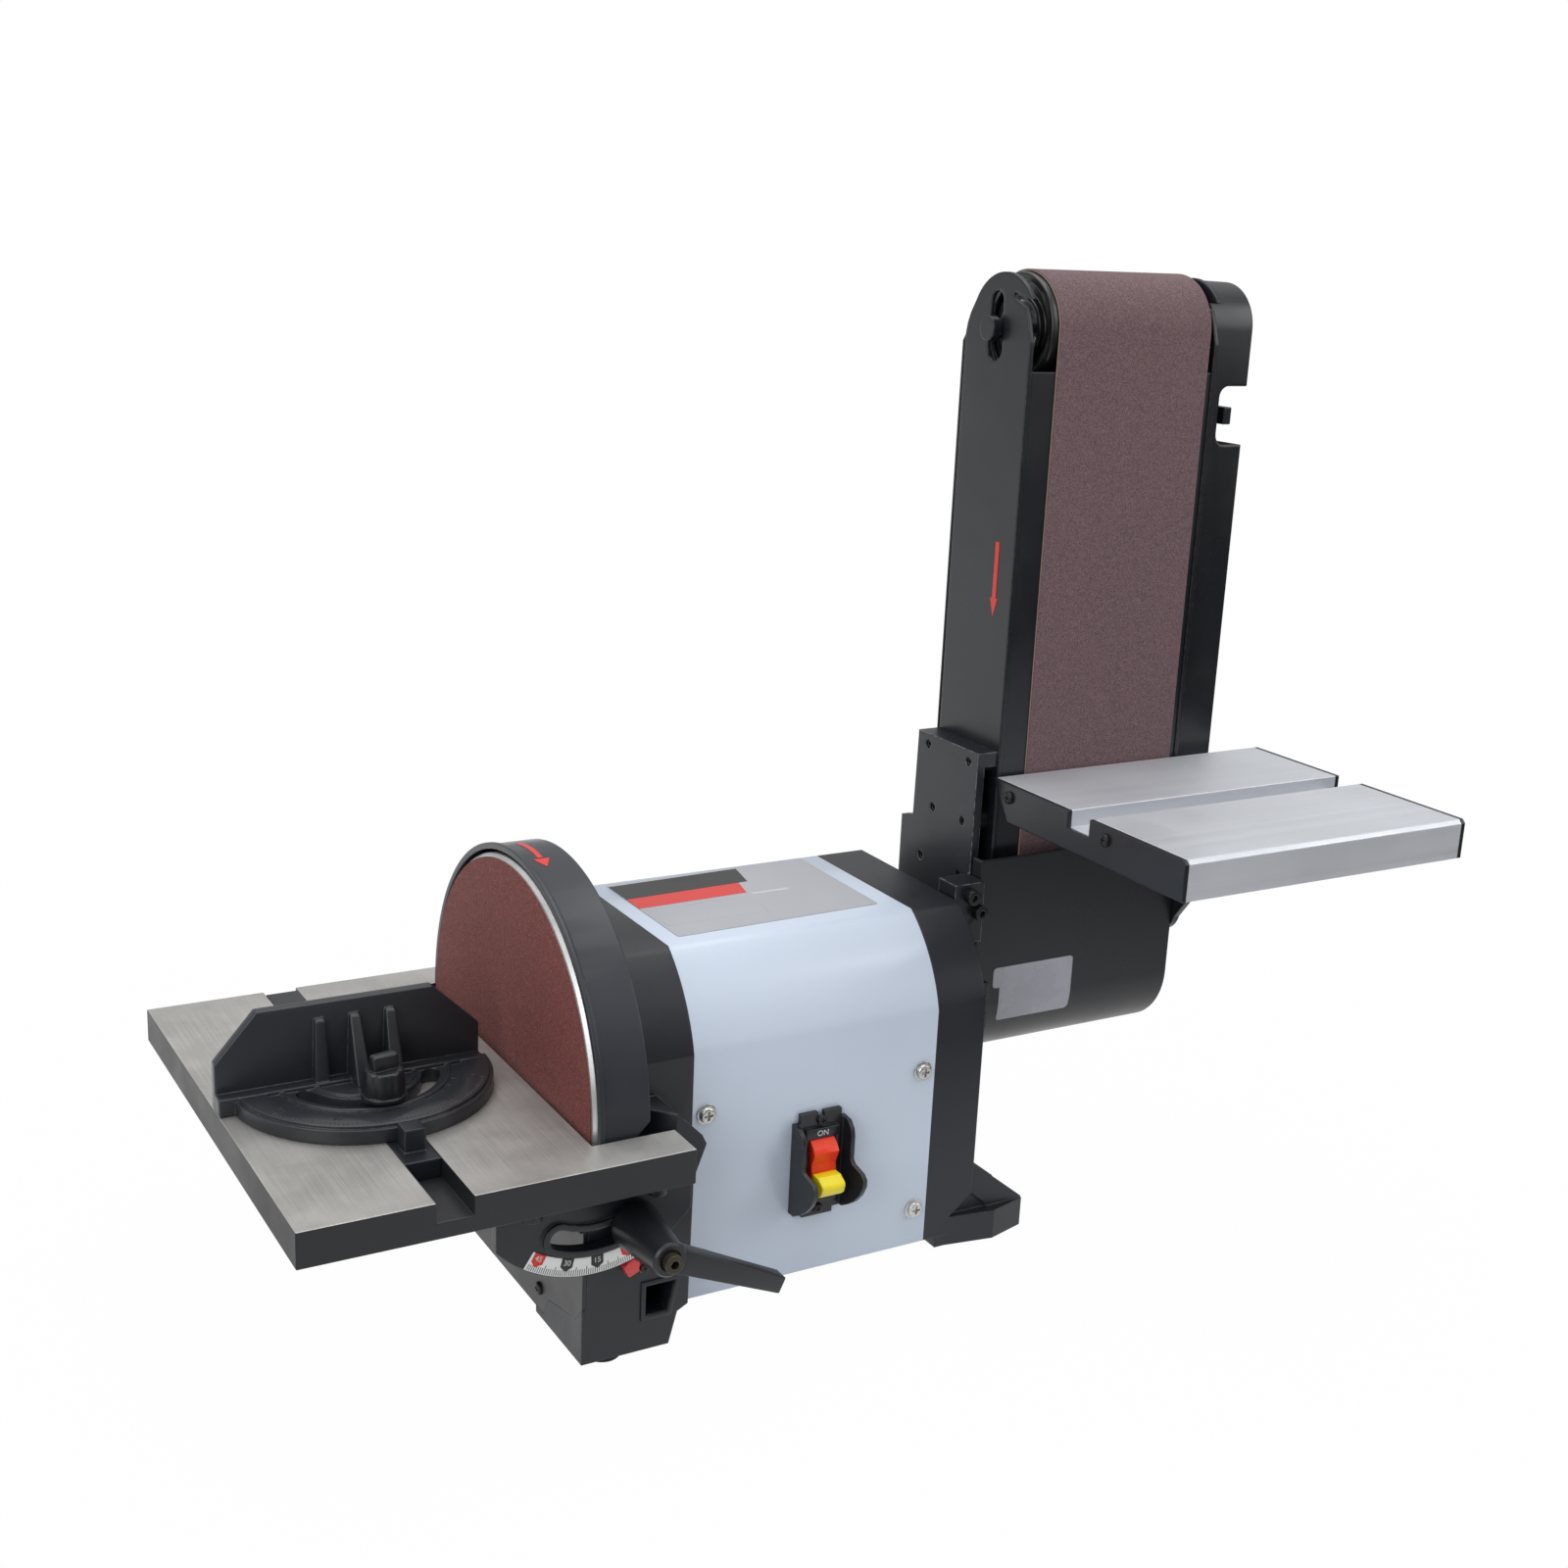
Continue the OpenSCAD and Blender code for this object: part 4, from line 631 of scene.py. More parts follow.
@dataclass
class Sketch:
    """A mesh drawn in millimetres in the machine's frame."""

    bm: bmesh.types.BMesh = field(default_factory=bmesh.new)

    def rod(self, axis: Axis, start: float, end: float, radius: float, centre: Flat) -> Verts:
        """Adds a cylinder.

        Args:
            axis: The direction that it runs along.
            start: Its lower end on that axis.
            end: Its upper end on that axis.
            radius: Its radius.
            centre: Its middle on the other two axes, in X, Y, Z order.

        Returns:
            The new vertices.
        """
        shift = Matrix.Translation((centre[0], centre[1], (start + end) / 2))
        return bmesh.ops.create_cone(self.bm, cap_ends=True, segments=32, radius1=radius,
                                     radius2=radius, depth=end - start,
                                     matrix=axis.turn() @ shift)["verts"]

    def block(self, low: Point, high: Point) -> Verts:
        """Adds a box between two corners and returns its vertices."""
        middle = [(a + b) / 2 for a, b in zip(low, high)]
        size = [b - a for a, b in zip(low, high)]
        matrix = Matrix.Translation(middle) @ Matrix.Diagonal((*size, 1.0))
        return bmesh.ops.create_cube(self.bm, size=1.0, matrix=matrix)["verts"]

    def outlined(self, axis: Axis, start: float, outline: Sequence[Flat]) -> Verts:
        """Adds a vertex at each corner of a drawing that stands at a place on an axis."""
        turn = axis.turn()
        return [self.bm.verts.new(turn @ Vector((a, b, start))) for a, b in outline]

    def grown(self, faces: Sequence[bmesh.types.BMFace], axis: Axis, length: float) -> Verts:
        """Extrudes faces along an axis and returns the new vertices."""
        grown = bmesh.ops.extrude_face_region(self.bm, geom=faces)["geom"]
        moved = [g for g in grown if isinstance(g, Vert)]
        bmesh.ops.translate(self.bm, verts=moved, vec=axis.turn().to_3x3() @ Vector((0, 0, length)))
        return moved

    def prism(self, axis: Axis, start: float, end: float, outline: Sequence[Flat]) -> Verts:
        """Adds a drawing extruded along an axis.

        Args:
            axis: The direction of extrusion.
            start: Where it starts on that axis.
            end: Where it ends.
            outline: The drawing's corners on the other two axes, in X, Y, Z order.

        Returns:
            The new vertices.
        """
        verts = self.outlined(axis, start, outline)
        return verts + self.grown([self.bm.faces.new(verts)], axis, end - start)

    def lathe(self, axis: Axis, centre: Flat, profile: Sequence[Flat], steps: int = 48) -> Verts:
        """Adds a turned shape.

        Args:
            axis: The axis that it is turned about.
            centre: Where that axis lies on the other two axes.
            profile: Pairs of radius and place along the axis, from one end to the other.
            steps: The number of sides.

        Returns:
            The new vertices.
        """
        turn = axis.turn()
        middle = turn @ Vector((centre[0], centre[1], 0))
        verts = [self.bm.verts.new(middle + turn @ Vector((radius, 0, along)))
                 for radius, along in profile]
        edges = [self.bm.edges.new(pair) for pair in zip(verts, verts[1:])]
        before = set(self.bm.verts)
        bmesh.ops.spin(self.bm, geom=verts + edges, cent=middle, axis=turn.to_3x3() @ Vector((0, 0, 1)),
                       dvec=(0, 0, 0), angle=math.tau, steps=steps, use_merge=True)
        return verts + [v for v in self.bm.verts if v not in before]

    def soften(self, verts: Iterable[Vert], width: float, segments: int = 3,
               angle: float = 30.0) -> None:
        """Rounds the sharp edges between some vertices.

        Args:
            verts: The vertices whose edges count.
            width: The width of the rounding.
            segments: Its number of steps.
            angle: Edges that turn less than this many degrees are left.
        """
        chosen = set(verts)
        bmesh.ops.remove_doubles(self.bm, verts=list(chosen), dist=1e-4)
        chosen = {v for v in chosen if v.is_valid}
        faces = list({f for v in chosen for f in v.link_faces})
        bmesh.ops.recalc_face_normals(self.bm, faces=faces)
        edges = [e for e in self.bm.edges if e.verts[0] in chosen and e.verts[1] in chosen
                 and len(e.link_faces) == 2 and e.calc_face_angle(0.0) > math.radians(angle)]
        bmesh.ops.bevel(self.bm, geom=edges, offset=width, offset_type="OFFSET", segments=segments,
                        profile=0.5, affect="EDGES", clamp_overlap=True, material=-1)

    def sheet(self, axis: Axis, start: float, end: float, outer: Sequence[Flat],
              holes: Sequence[Sequence[Flat]]) -> Verts:
        """Adds a drawing with holes, extruded along an axis.

        Args:
            axis: The direction of extrusion.
            start: Where it starts on that axis.
            end: Where it ends.
            outer: The drawing's outline.
            holes: The outlines of its holes.

        Returns:
            The new vertices.
        """
        verts, edges = [], []
        for outline in (outer, *holes):
            loop = self.outlined(axis, start, outline)
            edges += [self.bm.edges.new((loop[i - 1], loop[i])) for i in range(len(loop))]
            verts += loop
        filled = bmesh.ops.triangle_fill(self.bm, use_beauty=True, edges=edges)["geom"]
        faces = [g for g in filled if isinstance(g, bmesh.types.BMFace)]
        return verts + self.grown(faces, axis, end - start)

    def tube(self, axis: Axis, start: float, end: float, outer: Sequence[Flat],
             inner: Sequence[Flat]) -> None:
        """Adds the ring between two outlines of as many points, extruded along an axis."""
        rows = [self.outlined(axis, start, outline) for outline in (outer, inner)]
        faces = [self.bm.faces.new((rows[0][i - 1], rows[0][i], rows[1][i], rows[1][i - 1]))
                 for i in range(len(outer))]
        self.grown(faces, axis, end - start)

    def strip(self, rows: Sequence[Sequence[Vector]]) -> None:
        """Adds a thin curved strip from rows of corners: under, over, under, over, along its run."""
        made = [[self.bm.verts.new(point) for point in row] for row in rows]
        under, over = made[0::2], made[1::2]
        for near, far, low, high in zip(over, over[1:], under, under[1:]):
            self.bm.faces.new((near[0], near[1], far[1], far[0]))
            self.bm.faces.new((low[1], low[0], high[0], high[1]))
            for side in (0, 1):
                self.bm.faces.new((low[side], near[side], far[side], high[side]))
        for low, top in ((under[0], over[0]), (under[-1], over[-1])):
            self.bm.faces.new((low[0], low[1], top[1], top[0]))

    def screw(self, axis: Axis, seat: float, centre: Flat, head: Head, outward: int) -> None:
        """Adds a screw's head with its recess.

        Args:
            axis: The screw's direction.
            seat: Where the head sits on that axis.
            centre: Its middle on the other two axes.
            head: Its shape.
            outward: 1 or -1, the way that it faces.
        """
        turn = axis.turn() @ Matrix.Translation((*centre, seat)) @ Matrix.Diagonal((1, 1, outward, 1))
        count = 32
        loops = [[self.bm.verts.new(turn @ Vector((a, b, up))) for a, b in ring((0, 0), radius, count)]
                 for radius, up in head.rings()]
        self.bm.faces.new(loops[0])
        for low, high in zip(loops, loops[1:]):
            for i in range(count):
                self.bm.faces.new((low[i - 1], low[i], high[i], high[i - 1]))
        outline = head.drive.outline(head.radius)
        rim = [self.bm.verts.new(turn @ Vector((a, b, head.height))) for a, b in outline]
        deep = [self.bm.verts.new(turn @ Vector((a * 0.8, b * 0.8, head.height * 0.4)))
                for a, b in outline]
        self.bm.faces.new(deep)
        for i in range(len(rim)):
            self.bm.faces.new((rim[i - 1], rim[i], deep[i], deep[i - 1]))
        edges = [self.bm.edges.get((loop[i - 1], loop[i])) for loop in (loops[-1], rim)
                 for i in range(len(loop))]
        bmesh.ops.triangle_fill(self.bm, use_beauty=True, edges=edges)

    def turned(self, verts: Sequence[Vert], centre: Point, angle: float, axis: Axis) -> None:
        """Turns vertices about a point by an angle in degrees."""
        bmesh.ops.rotate(self.bm, verts=list(verts), cent=centre,
                         matrix=Matrix.Rotation(math.radians(angle), 3, axis.name))

    def mesh(self, name: str) -> bpy.types.Mesh:
        """Returns the sketch as a mesh on the bench, in metres."""
        bmesh.ops.remove_doubles(self.bm, verts=self.bm.verts, dist=1e-4)
        bmesh.ops.recalc_face_normals(self.bm, faces=self.bm.faces)
        self.bm.transform(TO_BENCH)
        mesh = bpy.data.meshes.new(name)
        self.bm.to_mesh(mesh)
        self.bm.free()
        return mesh

    def piece(self, name: str, body: str, finish: Finish,
              replaces: Sequence[str] = ()) -> bpy.types.Object:
        """Turns the sketch into a finished piece.

        Args:
            name: The piece's name.
            body: The body that it rides on.
            finish: Its finish.
            replaces: The nodes that it stands for.

        Returns:
            The new object.
        """
        return settle(self.mesh(name), name, body, finish, replaces)


def stand(name: str, data: bpy.types.ID) -> bpy.types.Object:
    """Adds an object with some data to the scene and returns it."""
    made = bpy.data.objects.new(name, data)
    bpy.context.scene.collection.objects.link(made)
    return made


def settle(mesh: bpy.types.Mesh, name: str, body: str, finish: Finish,
           replaces: Sequence[str] = ()) -> bpy.types.Object:
    """Makes an object of a mesh that is already in place, and joins it to the frame.

    Args:
        mesh: The mesh, in the row's frame.
        name: The object's name.
        body: The body that it rides on.
        finish: Its finish.
        replaces: The nodes that it stands for.

    Returns:
        The new object.
    """
    made = stand(name, mesh)
    mesh.materials.clear()
    mesh.materials.append(finish.material())
    mesh.shade_smooth()
    mesh.set_sharp_from_angle(angle=SHARP)
    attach(made, body)
    for node in replaces:
        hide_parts(node)
    LOG.info("%s: %d faces on %s", name, len(mesh.polygons), body)
    return made


def screw_set(name: str, body: str, finish: Finish, head: Head, axis: Axis,
              places: Iterable[tuple[float, Flat, int]], replaces: Sequence[str] = ()) -> None:
    """Stands a set of like screws on a body, as one piece.

    Args:
        name: The piece's name.
        body: The body that it rides on.
        finish: Its finish.
        head: The shape of every head.
        axis: The direction that the screws run along.
        places: For each screw, its seat on that axis, its middle on the other two, and 1 or -1 for the
            way that it faces.
        replaces: The nodes that it stands for.
    """
    sketch = Sketch()
    for seat, centre, outward in places:
        sketch.screw(axis, seat, centre, head, outward)
    sketch.piece(name, body, finish, replaces)


def lettering(text: str, height: float, place: Matrix, depth: float = 0.15) -> bpy.types.Mesh:
    """Returns flat raised text as a mesh.

    Args:
        text: The text.
        height: The height of its capitals, in millimetres.
        place: Takes the text's own plane, where x runs along it and z points out, to the machine's
            frame.
        depth: How far it stands out, in millimetres.

    Returns:
        The mesh, in the row's frame.
    """
    curve = bpy.data.curves.new("text", "FONT")
    curve.body = text
    curve.size = height / 0.7
    curve.align_x = "CENTER"
    curve.align_y = "CENTER"
    curve.extrude = depth
    holder = stand("text", curve)
    bpy.context.view_layer.update()
    graph = bpy.context.evaluated_depsgraph_get()
    mesh = bpy.data.meshes.new_from_object(holder.evaluated_get(graph))
    bpy.data.objects.remove(holder)
    mesh.transform(TO_BENCH @ place)
    return mesh


@dataclass
class Frame:
    """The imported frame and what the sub-assemblies do with its nodes."""

    loaded: dict

    def body_of(self, node: str) -> str:
        """Returns the body that a node belongs to."""
        return self.loaded["nodes"][node]["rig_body"]

    def dress(self, finish: Finish, *nodes: str) -> None:
        """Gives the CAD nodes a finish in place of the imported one."""
        for node in nodes:
            mesh = self.loaded["nodes"][node].data
            mesh.materials.clear()
            mesh.materials.append(finish.material())

    def rounded(self, node: str, finish: Finish, width: float, segments: int = 2,
                angle: float = 38.0) -> bpy.types.Object:
        """Stands a copy of a node with rounded edges in its place.

        Args:
            node: The node.
            finish: The copy's finish.
            width: The width of the rounding, in millimetres.
            segments: Its number of steps.
            angle: Edges that turn less than this many degrees stay as they are.

        Returns:
            The new object.
        """
        bm = bmesh.new()
        bm.from_mesh(self.loaded["nodes"][node].data)
        bmesh.ops.remove_doubles(bm, verts=bm.verts, dist=1e-6)
        bmesh.ops.dissolve_limit(bm, angle_limit=math.radians(0.4), use_dissolve_boundaries=False,
                                 verts=bm.verts, edges=bm.edges)
        mesh = bpy.data.meshes.new(node + "_rounded")
        bm.to_mesh(mesh)
        bm.free()
        made = settle(mesh, node + "_rounded", self.body_of(node), finish, [node])
        bevel = made.modifiers.new("Rounding", "BEVEL")
        bevel.width = width / 1000
        bevel.segments = segments
        bevel.limit_method = "ANGLE"
        bevel.angle_limit = math.radians(angle)
        bevel.use_clamp_overlap = True
        bevel.harden_normals = True
        return made


# ---------------------------------------------------------------- studio


@dataclass
class Studio:
    """The camera, the floor and the lamps."""

    eye: Point = (-358.05, -873.05, 411.32)
    yaw: float = 30.426
    pitch: float = 15.667
    roll: float = 2.628
    lens: float = 46.04

    def camera(self) -> None:
        """Puts the camera where the photograph was taken from."""
        yaw, pitch, roll = (math.radians(v) for v in (self.yaw, self.pitch, self.roll))
        ahead = Vector((math.sin(yaw) * math.cos(pitch), math.cos(yaw) * math.cos(pitch),
                        -math.sin(pitch)))
        level = Vector((math.cos(yaw), -math.sin(yaw), 0))
        upright = level.cross(ahead)
        right = level * math.cos(roll) + upright * math.sin(roll)
        up = upright * math.cos(roll) - level * math.sin(roll)
        data = bpy.data.cameras.new("Camera")
        data.lens = self.lens
        data.sensor_width = 36
        data.clip_end = 100
        camera = stand("Camera", data)
        turn = Matrix((right, up, -ahead)).transposed().to_4x4()
        camera.matrix_world = Matrix.Translation(TO_BENCH @ Vector(self.eye)) @ turn
        bpy.context.scene.camera = camera

    def floor(self) -> None:
        """Lays the pale floor, which fades to the background's white far from the machine."""
        bm = bmesh.new()
        bmesh.ops.create_circle(bm, cap_ends=True, segments=64, radius=30.0)
        mesh = bpy.data.meshes.new("Floor")
        bm.to_mesh(mesh)
        bm.free()
        floor = stand("Floor", mesh)
        made = bpy.data.materials.new("Pale floor")
        made.use_nodes = True
        nodes = Nodes(made.node_tree)
        shader = made.node_tree.nodes["Principled BSDF"]
        shader.inputs["Base Color"].default_value = (0.64, 0.64, 0.64, 1)
        shader.inputs["Roughness"].default_value = 0.8
        shader.inputs["Specular IOR Level"].default_value = 0.1
        glow = nodes.add("ShaderNodeEmission")
        glow.inputs["Color"].default_value = (1, 1, 1, 1)
        place = nodes.place()
        reach = nodes.add("ShaderNodeVectorMath", operation="LENGTH")
        nodes.link(place, reach.inputs[0])
        far = nodes.ramp(reach.outputs["Value"], 0.3, 1.3, 0.985, 1.0)
        path = nodes.add("ShaderNodeLightPath")
        near = nodes.ramp(reach.outputs["Value"], 0.2, 1.1, 0.85, 0.06)
        bright = nodes.math("MAXIMUM", near, self.backwards(nodes, place, (-0.1, 0.5), (0.0, 1.0)))
        mirrored = nodes.math("MULTIPLY", path.outputs["Is Glossy Ray"], bright)
        nodes.link(nodes.math("MAXIMUM", path.outputs["Is Camera Ray"], mirrored),
                   glow.inputs["Strength"])
        mixer = nodes.add("ShaderNodeMixShader")
        seen = nodes.math("MAXIMUM", path.outputs["Is Camera Ray"], path.outputs["Is Glossy Ray"])
        nodes.link(nodes.math("MULTIPLY", far, seen), mixer.inputs[0])
        nodes.link(shader.outputs[0], mixer.inputs[1])
        nodes.link(glow.outputs[0], mixer.inputs[2])
        nodes.link(mixer.outputs[0], made.node_tree.nodes["Material Output"].inputs[0])
        mesh.materials.append(made)

    def backwards(self, nodes: Nodes, place: Socket, span: Flat,
                  levels: Flat) -> Socket:
        """Returns a light level that rises from the front right of the machine to its back left.

        Args:
            nodes: The tree's nodes.
            place: The point or direction to grade.
            span: Where the rise starts and ends along that way.
            levels: The light levels there.

        Returns:
            The level at the place.
        """
        split = nodes.add("ShaderNodeSeparateXYZ")
        nodes.link(place, split.inputs[0])
        return nodes.ramp(nodes.total(split.outputs[0], -0.45, split.outputs[1], 0.89), *span, *levels)

    def world(self) -> None:
        """Makes the background white to the camera and a soft even light to the machine."""
        world = bpy.data.worlds.new("Studio")
        bpy.context.scene.world = world
        world.use_nodes = True
        nodes = Nodes(world.node_tree)
        ground = world.node_tree.nodes["Background"]
        ground.inputs["Color"].default_value = (1, 1, 1, 1)
        way = nodes.add("ShaderNodeTexCoord").outputs["Generated"]
        low = self.backwards(nodes, way, (-0.6, 0.6), (0.3, 0.5))
        split = nodes.add("ShaderNodeSeparateXYZ")
        nodes.link(way, split.inputs[0])
        sky = nodes.math("ADD", low, nodes.ramp(split.outputs[2], 0.1, 0.9, 0.0, 0.4))
        path = nodes.add("ShaderNodeLightPath")
        nodes.link(nodes.math("MAXIMUM", sky, path.outputs["Is Camera Ray"]), ground.inputs["Strength"])

    def lamp(self, name: str, place: Point, size: Flat, power: float) -> None:
        """Hangs a rectangular lamp that points at the machine's middle.

        Args:
            name: The lamp's name.
            place: Where it hangs, in metres in the row's frame.
            size: Its width and height in metres.
            power: Its power in watts.
        """
        data = bpy.data.lights.new(name, "AREA")
        data.shape = "RECTANGLE"
        data.size, data.size_y = size
        data.energy = power
        lamp = stand(name, data)
        aim = Vector((0.0, 0.0, 0.2)) - Vector(place)
        turn = aim.to_track_quat("-Z", "Y").to_matrix().to_4x4()
        lamp.matrix_world = Matrix.Translation(place) @ turn

    def build(self) -> None:
        """Builds the whole studio."""
        self.camera()
        self.floor()
        self.world()
        self.lamp("Top light", (0.1, 0.2, 2.3), (2.2, 1.8), 26)
        self.lamp("Left light", (-1.9, -1.2, 1.2), (1.2, 1.6), 19)
        self.lamp("Right light", (1.9, -1.3, 1.3), (1.2, 1.6), 16)
        bpy.context.scene.view_settings.view_transform = "Standard"


# ---------------------------------------------------------------- sub-assemblies

# Places and sizes in millimetres, and angles in degrees. A pair is a middle on the two axes that a
# shape does not run along, unless its line says otherwise.
COVER_HALF = 80.0  # from the middle to the motor cover's sides
FLAT_TOP = 67.0  # height of the motor cover's flat top
GUARD_R = 107.5
DISC_R = 101.6
SWITCH = (137.0, -54.0)
SWITCH_FACE = -85.3
GLAND = (223.0, -88.0)
IDLER_Z = 362.48
BELT_X = (288.5, 390.1)  # the belt's two edges
BELT_IN = 29.65  # radii of the belt's inside and outside around the drums
BELT_OUT = 30.65
FRAME_X = 270.0  # left face of the belt's frame
SHROUD_R = 38.5
TRACKING_KNOB = (402.4, IDLER_Z + 8)
BELT_TABLE_KNOB = (-50.0, 64.0)
END_CAP_SCREWS = ((-48.0, 121.3), (-129.3, 121.3))
TRUNNION_Y = -109.0  # front face of the front trunnion
GAUGE = (-77.2, -6.0)
LOCK = (19.02, -43.53)
LEVER_DIP = 25.0
LEVER_REACH = 67.0
LEVER_SEAT = 111.8  # where a lock lever's hub starts, and where it ends
LEVER_END = 149.8
COVER_SCREWS_X = (72.0, 199.0)  # their columns and rows on each side
COVER_SCREWS_Z = (-11.0, -90.0)
DISC_COVER_FACE = -3.0
DISC_COVER_SCREWS = ((52.0, -102.5), (99.0, -46.0))
POINTER_SCREW = (26.6, -69.8)
PEDESTAL_FACE = -103.0
ARM_SCREWS = ((248.0, 67.0), (253.5, 57.5))
DIAL_ZERO = 16.2  # the dial's angle at its zero, and at its two ends
DIAL_ENDS = (-32.3, 18.4)
DIAL_RIM = 65.4
GAUGE_R = 63.0
GAUGE_KNOB_R = 33.0  # from the gauge's pivot to its knob


@dataclass
class Housing:
    """The motor housing: its castings, sheet cover, label, switch, guard and feet."""

    frame: Frame

    def build(self) -> None:
        """Dresses the nodes and adds the housing's pieces."""
        rounded = self.frame.rounded
        rounded("left_casting", Palette.casting, 1.6, 3)
        rounded("right_casting", Palette.casting, 1.6, 3)
        rounded("motor_cover", Palette.cover, 0.5)
        rounded("disc_guard", Palette.guard, 0.9, 3)
        rounded("disc_cover", Palette.sheet, 0.5)
        rounded("bottom_plate", Palette.sheet, 0.4)
        rounded("rubber_feet", Palette.rubber, 1.0, 3)
        rounded("disc_dust_port", Palette.plastic, 0.8, 3)
        rounded("arm_retainer", Palette.steel, 0.4)
        self.frame.dress(Palette.laminated, "motor_stator")
        self.frame.dress(Palette.copper, "stator_windings")
        self.frame.dress(Palette.bearing, "shaft_bearings")
        self.frame.dress(Palette.plastic, "run_capacitor")
        self.frame.dress(Palette.zinc, "stator_bolts")
        self.screws()
        self.pocket_rim()
        self.pointer()
        self.label()
        self.arrow()
        self.switch()
        self.gland()

    def screws(self) -> None:
        """Stands domed screws with cross recesses on the cover, and screws on the lower disc cover."""
        places = [(side, (x, z)) for side in (-1, 1) for x in COVER_SCREWS_X for z in COVER_SCREWS_Z]
        screw_set("cover_screw_heads", "base", Palette.zinc, Head(4.4, 2.5, Drive.CROSS), Axis.Y,
                  [(side * (COVER_HALF + 0.9), centre, side) for side, centre in places],
                  ["cover_screws"])
        washers = Sketch()
        for side, centre in places:
            near, far = side * COVER_HALF, side * (COVER_HALF + 1.0)
            washers.lathe(Axis.Y, centre, [
                (2.6, near), (5.4, near), (5.4, near + side * 0.7), (4.8, far), (2.6, far)], 32)
        washers.piece("cover_screw_washers", "base", Palette.zinc)
        screw_set("disc_cover_screw_heads", "base", Palette.black_steel, Head(3.4, 1.6, Drive.CROSS),
                  Axis.X, [(DISC_COVER_FACE, (side * y, z), -1)
                           for y, z in DISC_COVER_SCREWS for side in (-1, 1)], ["disc_cover_screws"])

    def pocket_rim(self) -> None:
        """Raises a thin rim around the front pocket, through which a bench bolt is reached."""
        rim = Sketch()
        hole = [(30.0, -99.0), (42.0, -99.0), (46.0, -83.0), (30.0, -83.0)]
        outer = [(27.6, -101.4), (44.0, -101.4), (48.9, -80.6), (27.6, -80.6)]
        rim.soften(rim.sheet(Axis.Y, PEDESTAL_FACE - 1.2, PEDESTAL_FACE + 0.1, outer, [hole]), 0.5, 2)
        rim.piece("pocket_rim", "base", Palette.casting)

    def pointer(self) -> None:
        """Builds the dial's five-sided pointer and the small screw beside it."""
        body = Sketch()
        body.soften(body.prism(Axis.Y, -109.5, PEDESTAL_FACE, [
            (19.6, -63.4), (23.8, -65.6), (23.4, -70.6), (18.2, -72.9), (15.6, -67.4)]), 0.8, 3)
        body.soften(body.prism(Axis.Y, -108.0, PEDESTAL_FACE, ring(POINTER_SCREW, 2.9, 32)), 0.4, 2)
        body.piece("pointer_body", "base", Palette.faded_red, ["tilt_pointer"])
        screw_set("pointer_screw_head", "base", Palette.black_steel, Head(2.5, 1.7, Drive.CROSS),
                  Axis.Y, [(-107.8, POINTER_SCREW, -1)], ["pointer_screw"])

    def label(self) -> None:
        """Lays the blank rating plate on the flat top: grey, with a black and a red band."""
        plate = Sketch()
        corners = [(74.5, -39.9), (194.9, -35.6), (195.0, 47.6), (74.4, 45.2)]
        plate.prism(Axis.Z, FLAT_TOP + 0.02, FLAT_TOP + 0.22, rounded_corners(corners, 2.0))
        plate.piece("rating_plate", "base", Palette.plate)
        bands = (("rating_plate_band", Palette.ink,
                  [(74.6, 20.6), (148.1, 23.1), (152.5, 44.6), (74.6, 42.4)]),
                 ("rating_plate_stripe", Palette.signal,
                  [(74.6, 5.0), (138.8, 6.9), (142.5, 22.9), (74.6, 20.4)]))
        for name, finish, outline in bands:
            band = Sketch()
            band.prism(Axis.Z, FLAT_TOP + 0.2, FLAT_TOP + 0.27, outline)
            band.piece(name, "base", finish)
        rules = Sketch()
        for x0, x1, y0, y1 in (
                (76.9, 136.3, 0.9, 1.2), (76.9, 136.3, -23.6, -23.3), (76.9, 77.2, -23.6, 1.2),
                (136.0, 136.3, -23.6, 1.2), (140.5, 163.0, 3.0, 6.0)):
            rules.block((x0, y0, FLAT_TOP + 0.2), (x1, y1, FLAT_TOP + 0.26))
        rules.piece("rating_plate_rules", "base", Palette.plate_print)

    def arrow(self) -> None:
        """Wraps the red arrow that shows the disc's turn around the guard."""
        sketch = Sketch()
        strips = ((-10.0, 11.6, 14.6), (-6.0, 11.8, 14.9), (-2.0, 11.8, 15.0), (2.0, 11.6, 14.6),
                  (5.6, 11.1, 14.1))
        head = ((6.2, 8.4, 17.0), (8.6, 9.9, 14.6), (10.8, 11.9, 12.3))
        for rows in (strips, head):
            loops = []
            for lean, x0, x1 in rows:
                turn = math.radians(lean)
                for radius in (GUARD_R + 0.02, GUARD_R + 0.14):
                    loops.append([Vector((x, -radius * math.sin(turn), radius * math.cos(turn)))
                                  for x in (x0, x1)])
            sketch.strip(loops)
        sketch.piece("disc_arrow", "base", Palette.signal)

    def switch(self) -> None:
        """Rounds the switch and adds its legend, its word and its screws."""
        x, z = SWITCH
        self.frame.rounded("switch_housing", Palette.plastic, 0.7, 3)
        self.frame.rounded("switch_paddle", Palette.red, 0.8, 3)
        self.frame.rounded("switch_key", Palette.yellow, 0.7, 3)
        legend = Sketch()
        low, high = (x - 9.4, SWITCH_FACE, z + 19.4), (x + 9.4, SWITCH_FACE + 0.9, z + 25)
        legend.soften(legend.block(low, high), 0.25, 2)
        legend.piece("switch_legend_plate", "base", Palette.plastic)
        place = Matrix.Translation((x, SWITCH_FACE, z + 22.2)) @ TOWARDS_OPERATOR
        settle(lettering("ON", 3.0, place, 0.06), "switch_word", "base", Palette.scale)
        screw_set("switch_screw_heads", "base", Palette.black_steel, Head(2.8, 1.9, Drive.CROSS),
                  Axis.Y, [(-83.0, (x, height), -1) for height in (z - 20.5, z + 28.5)],
                  ["switch_screws"])

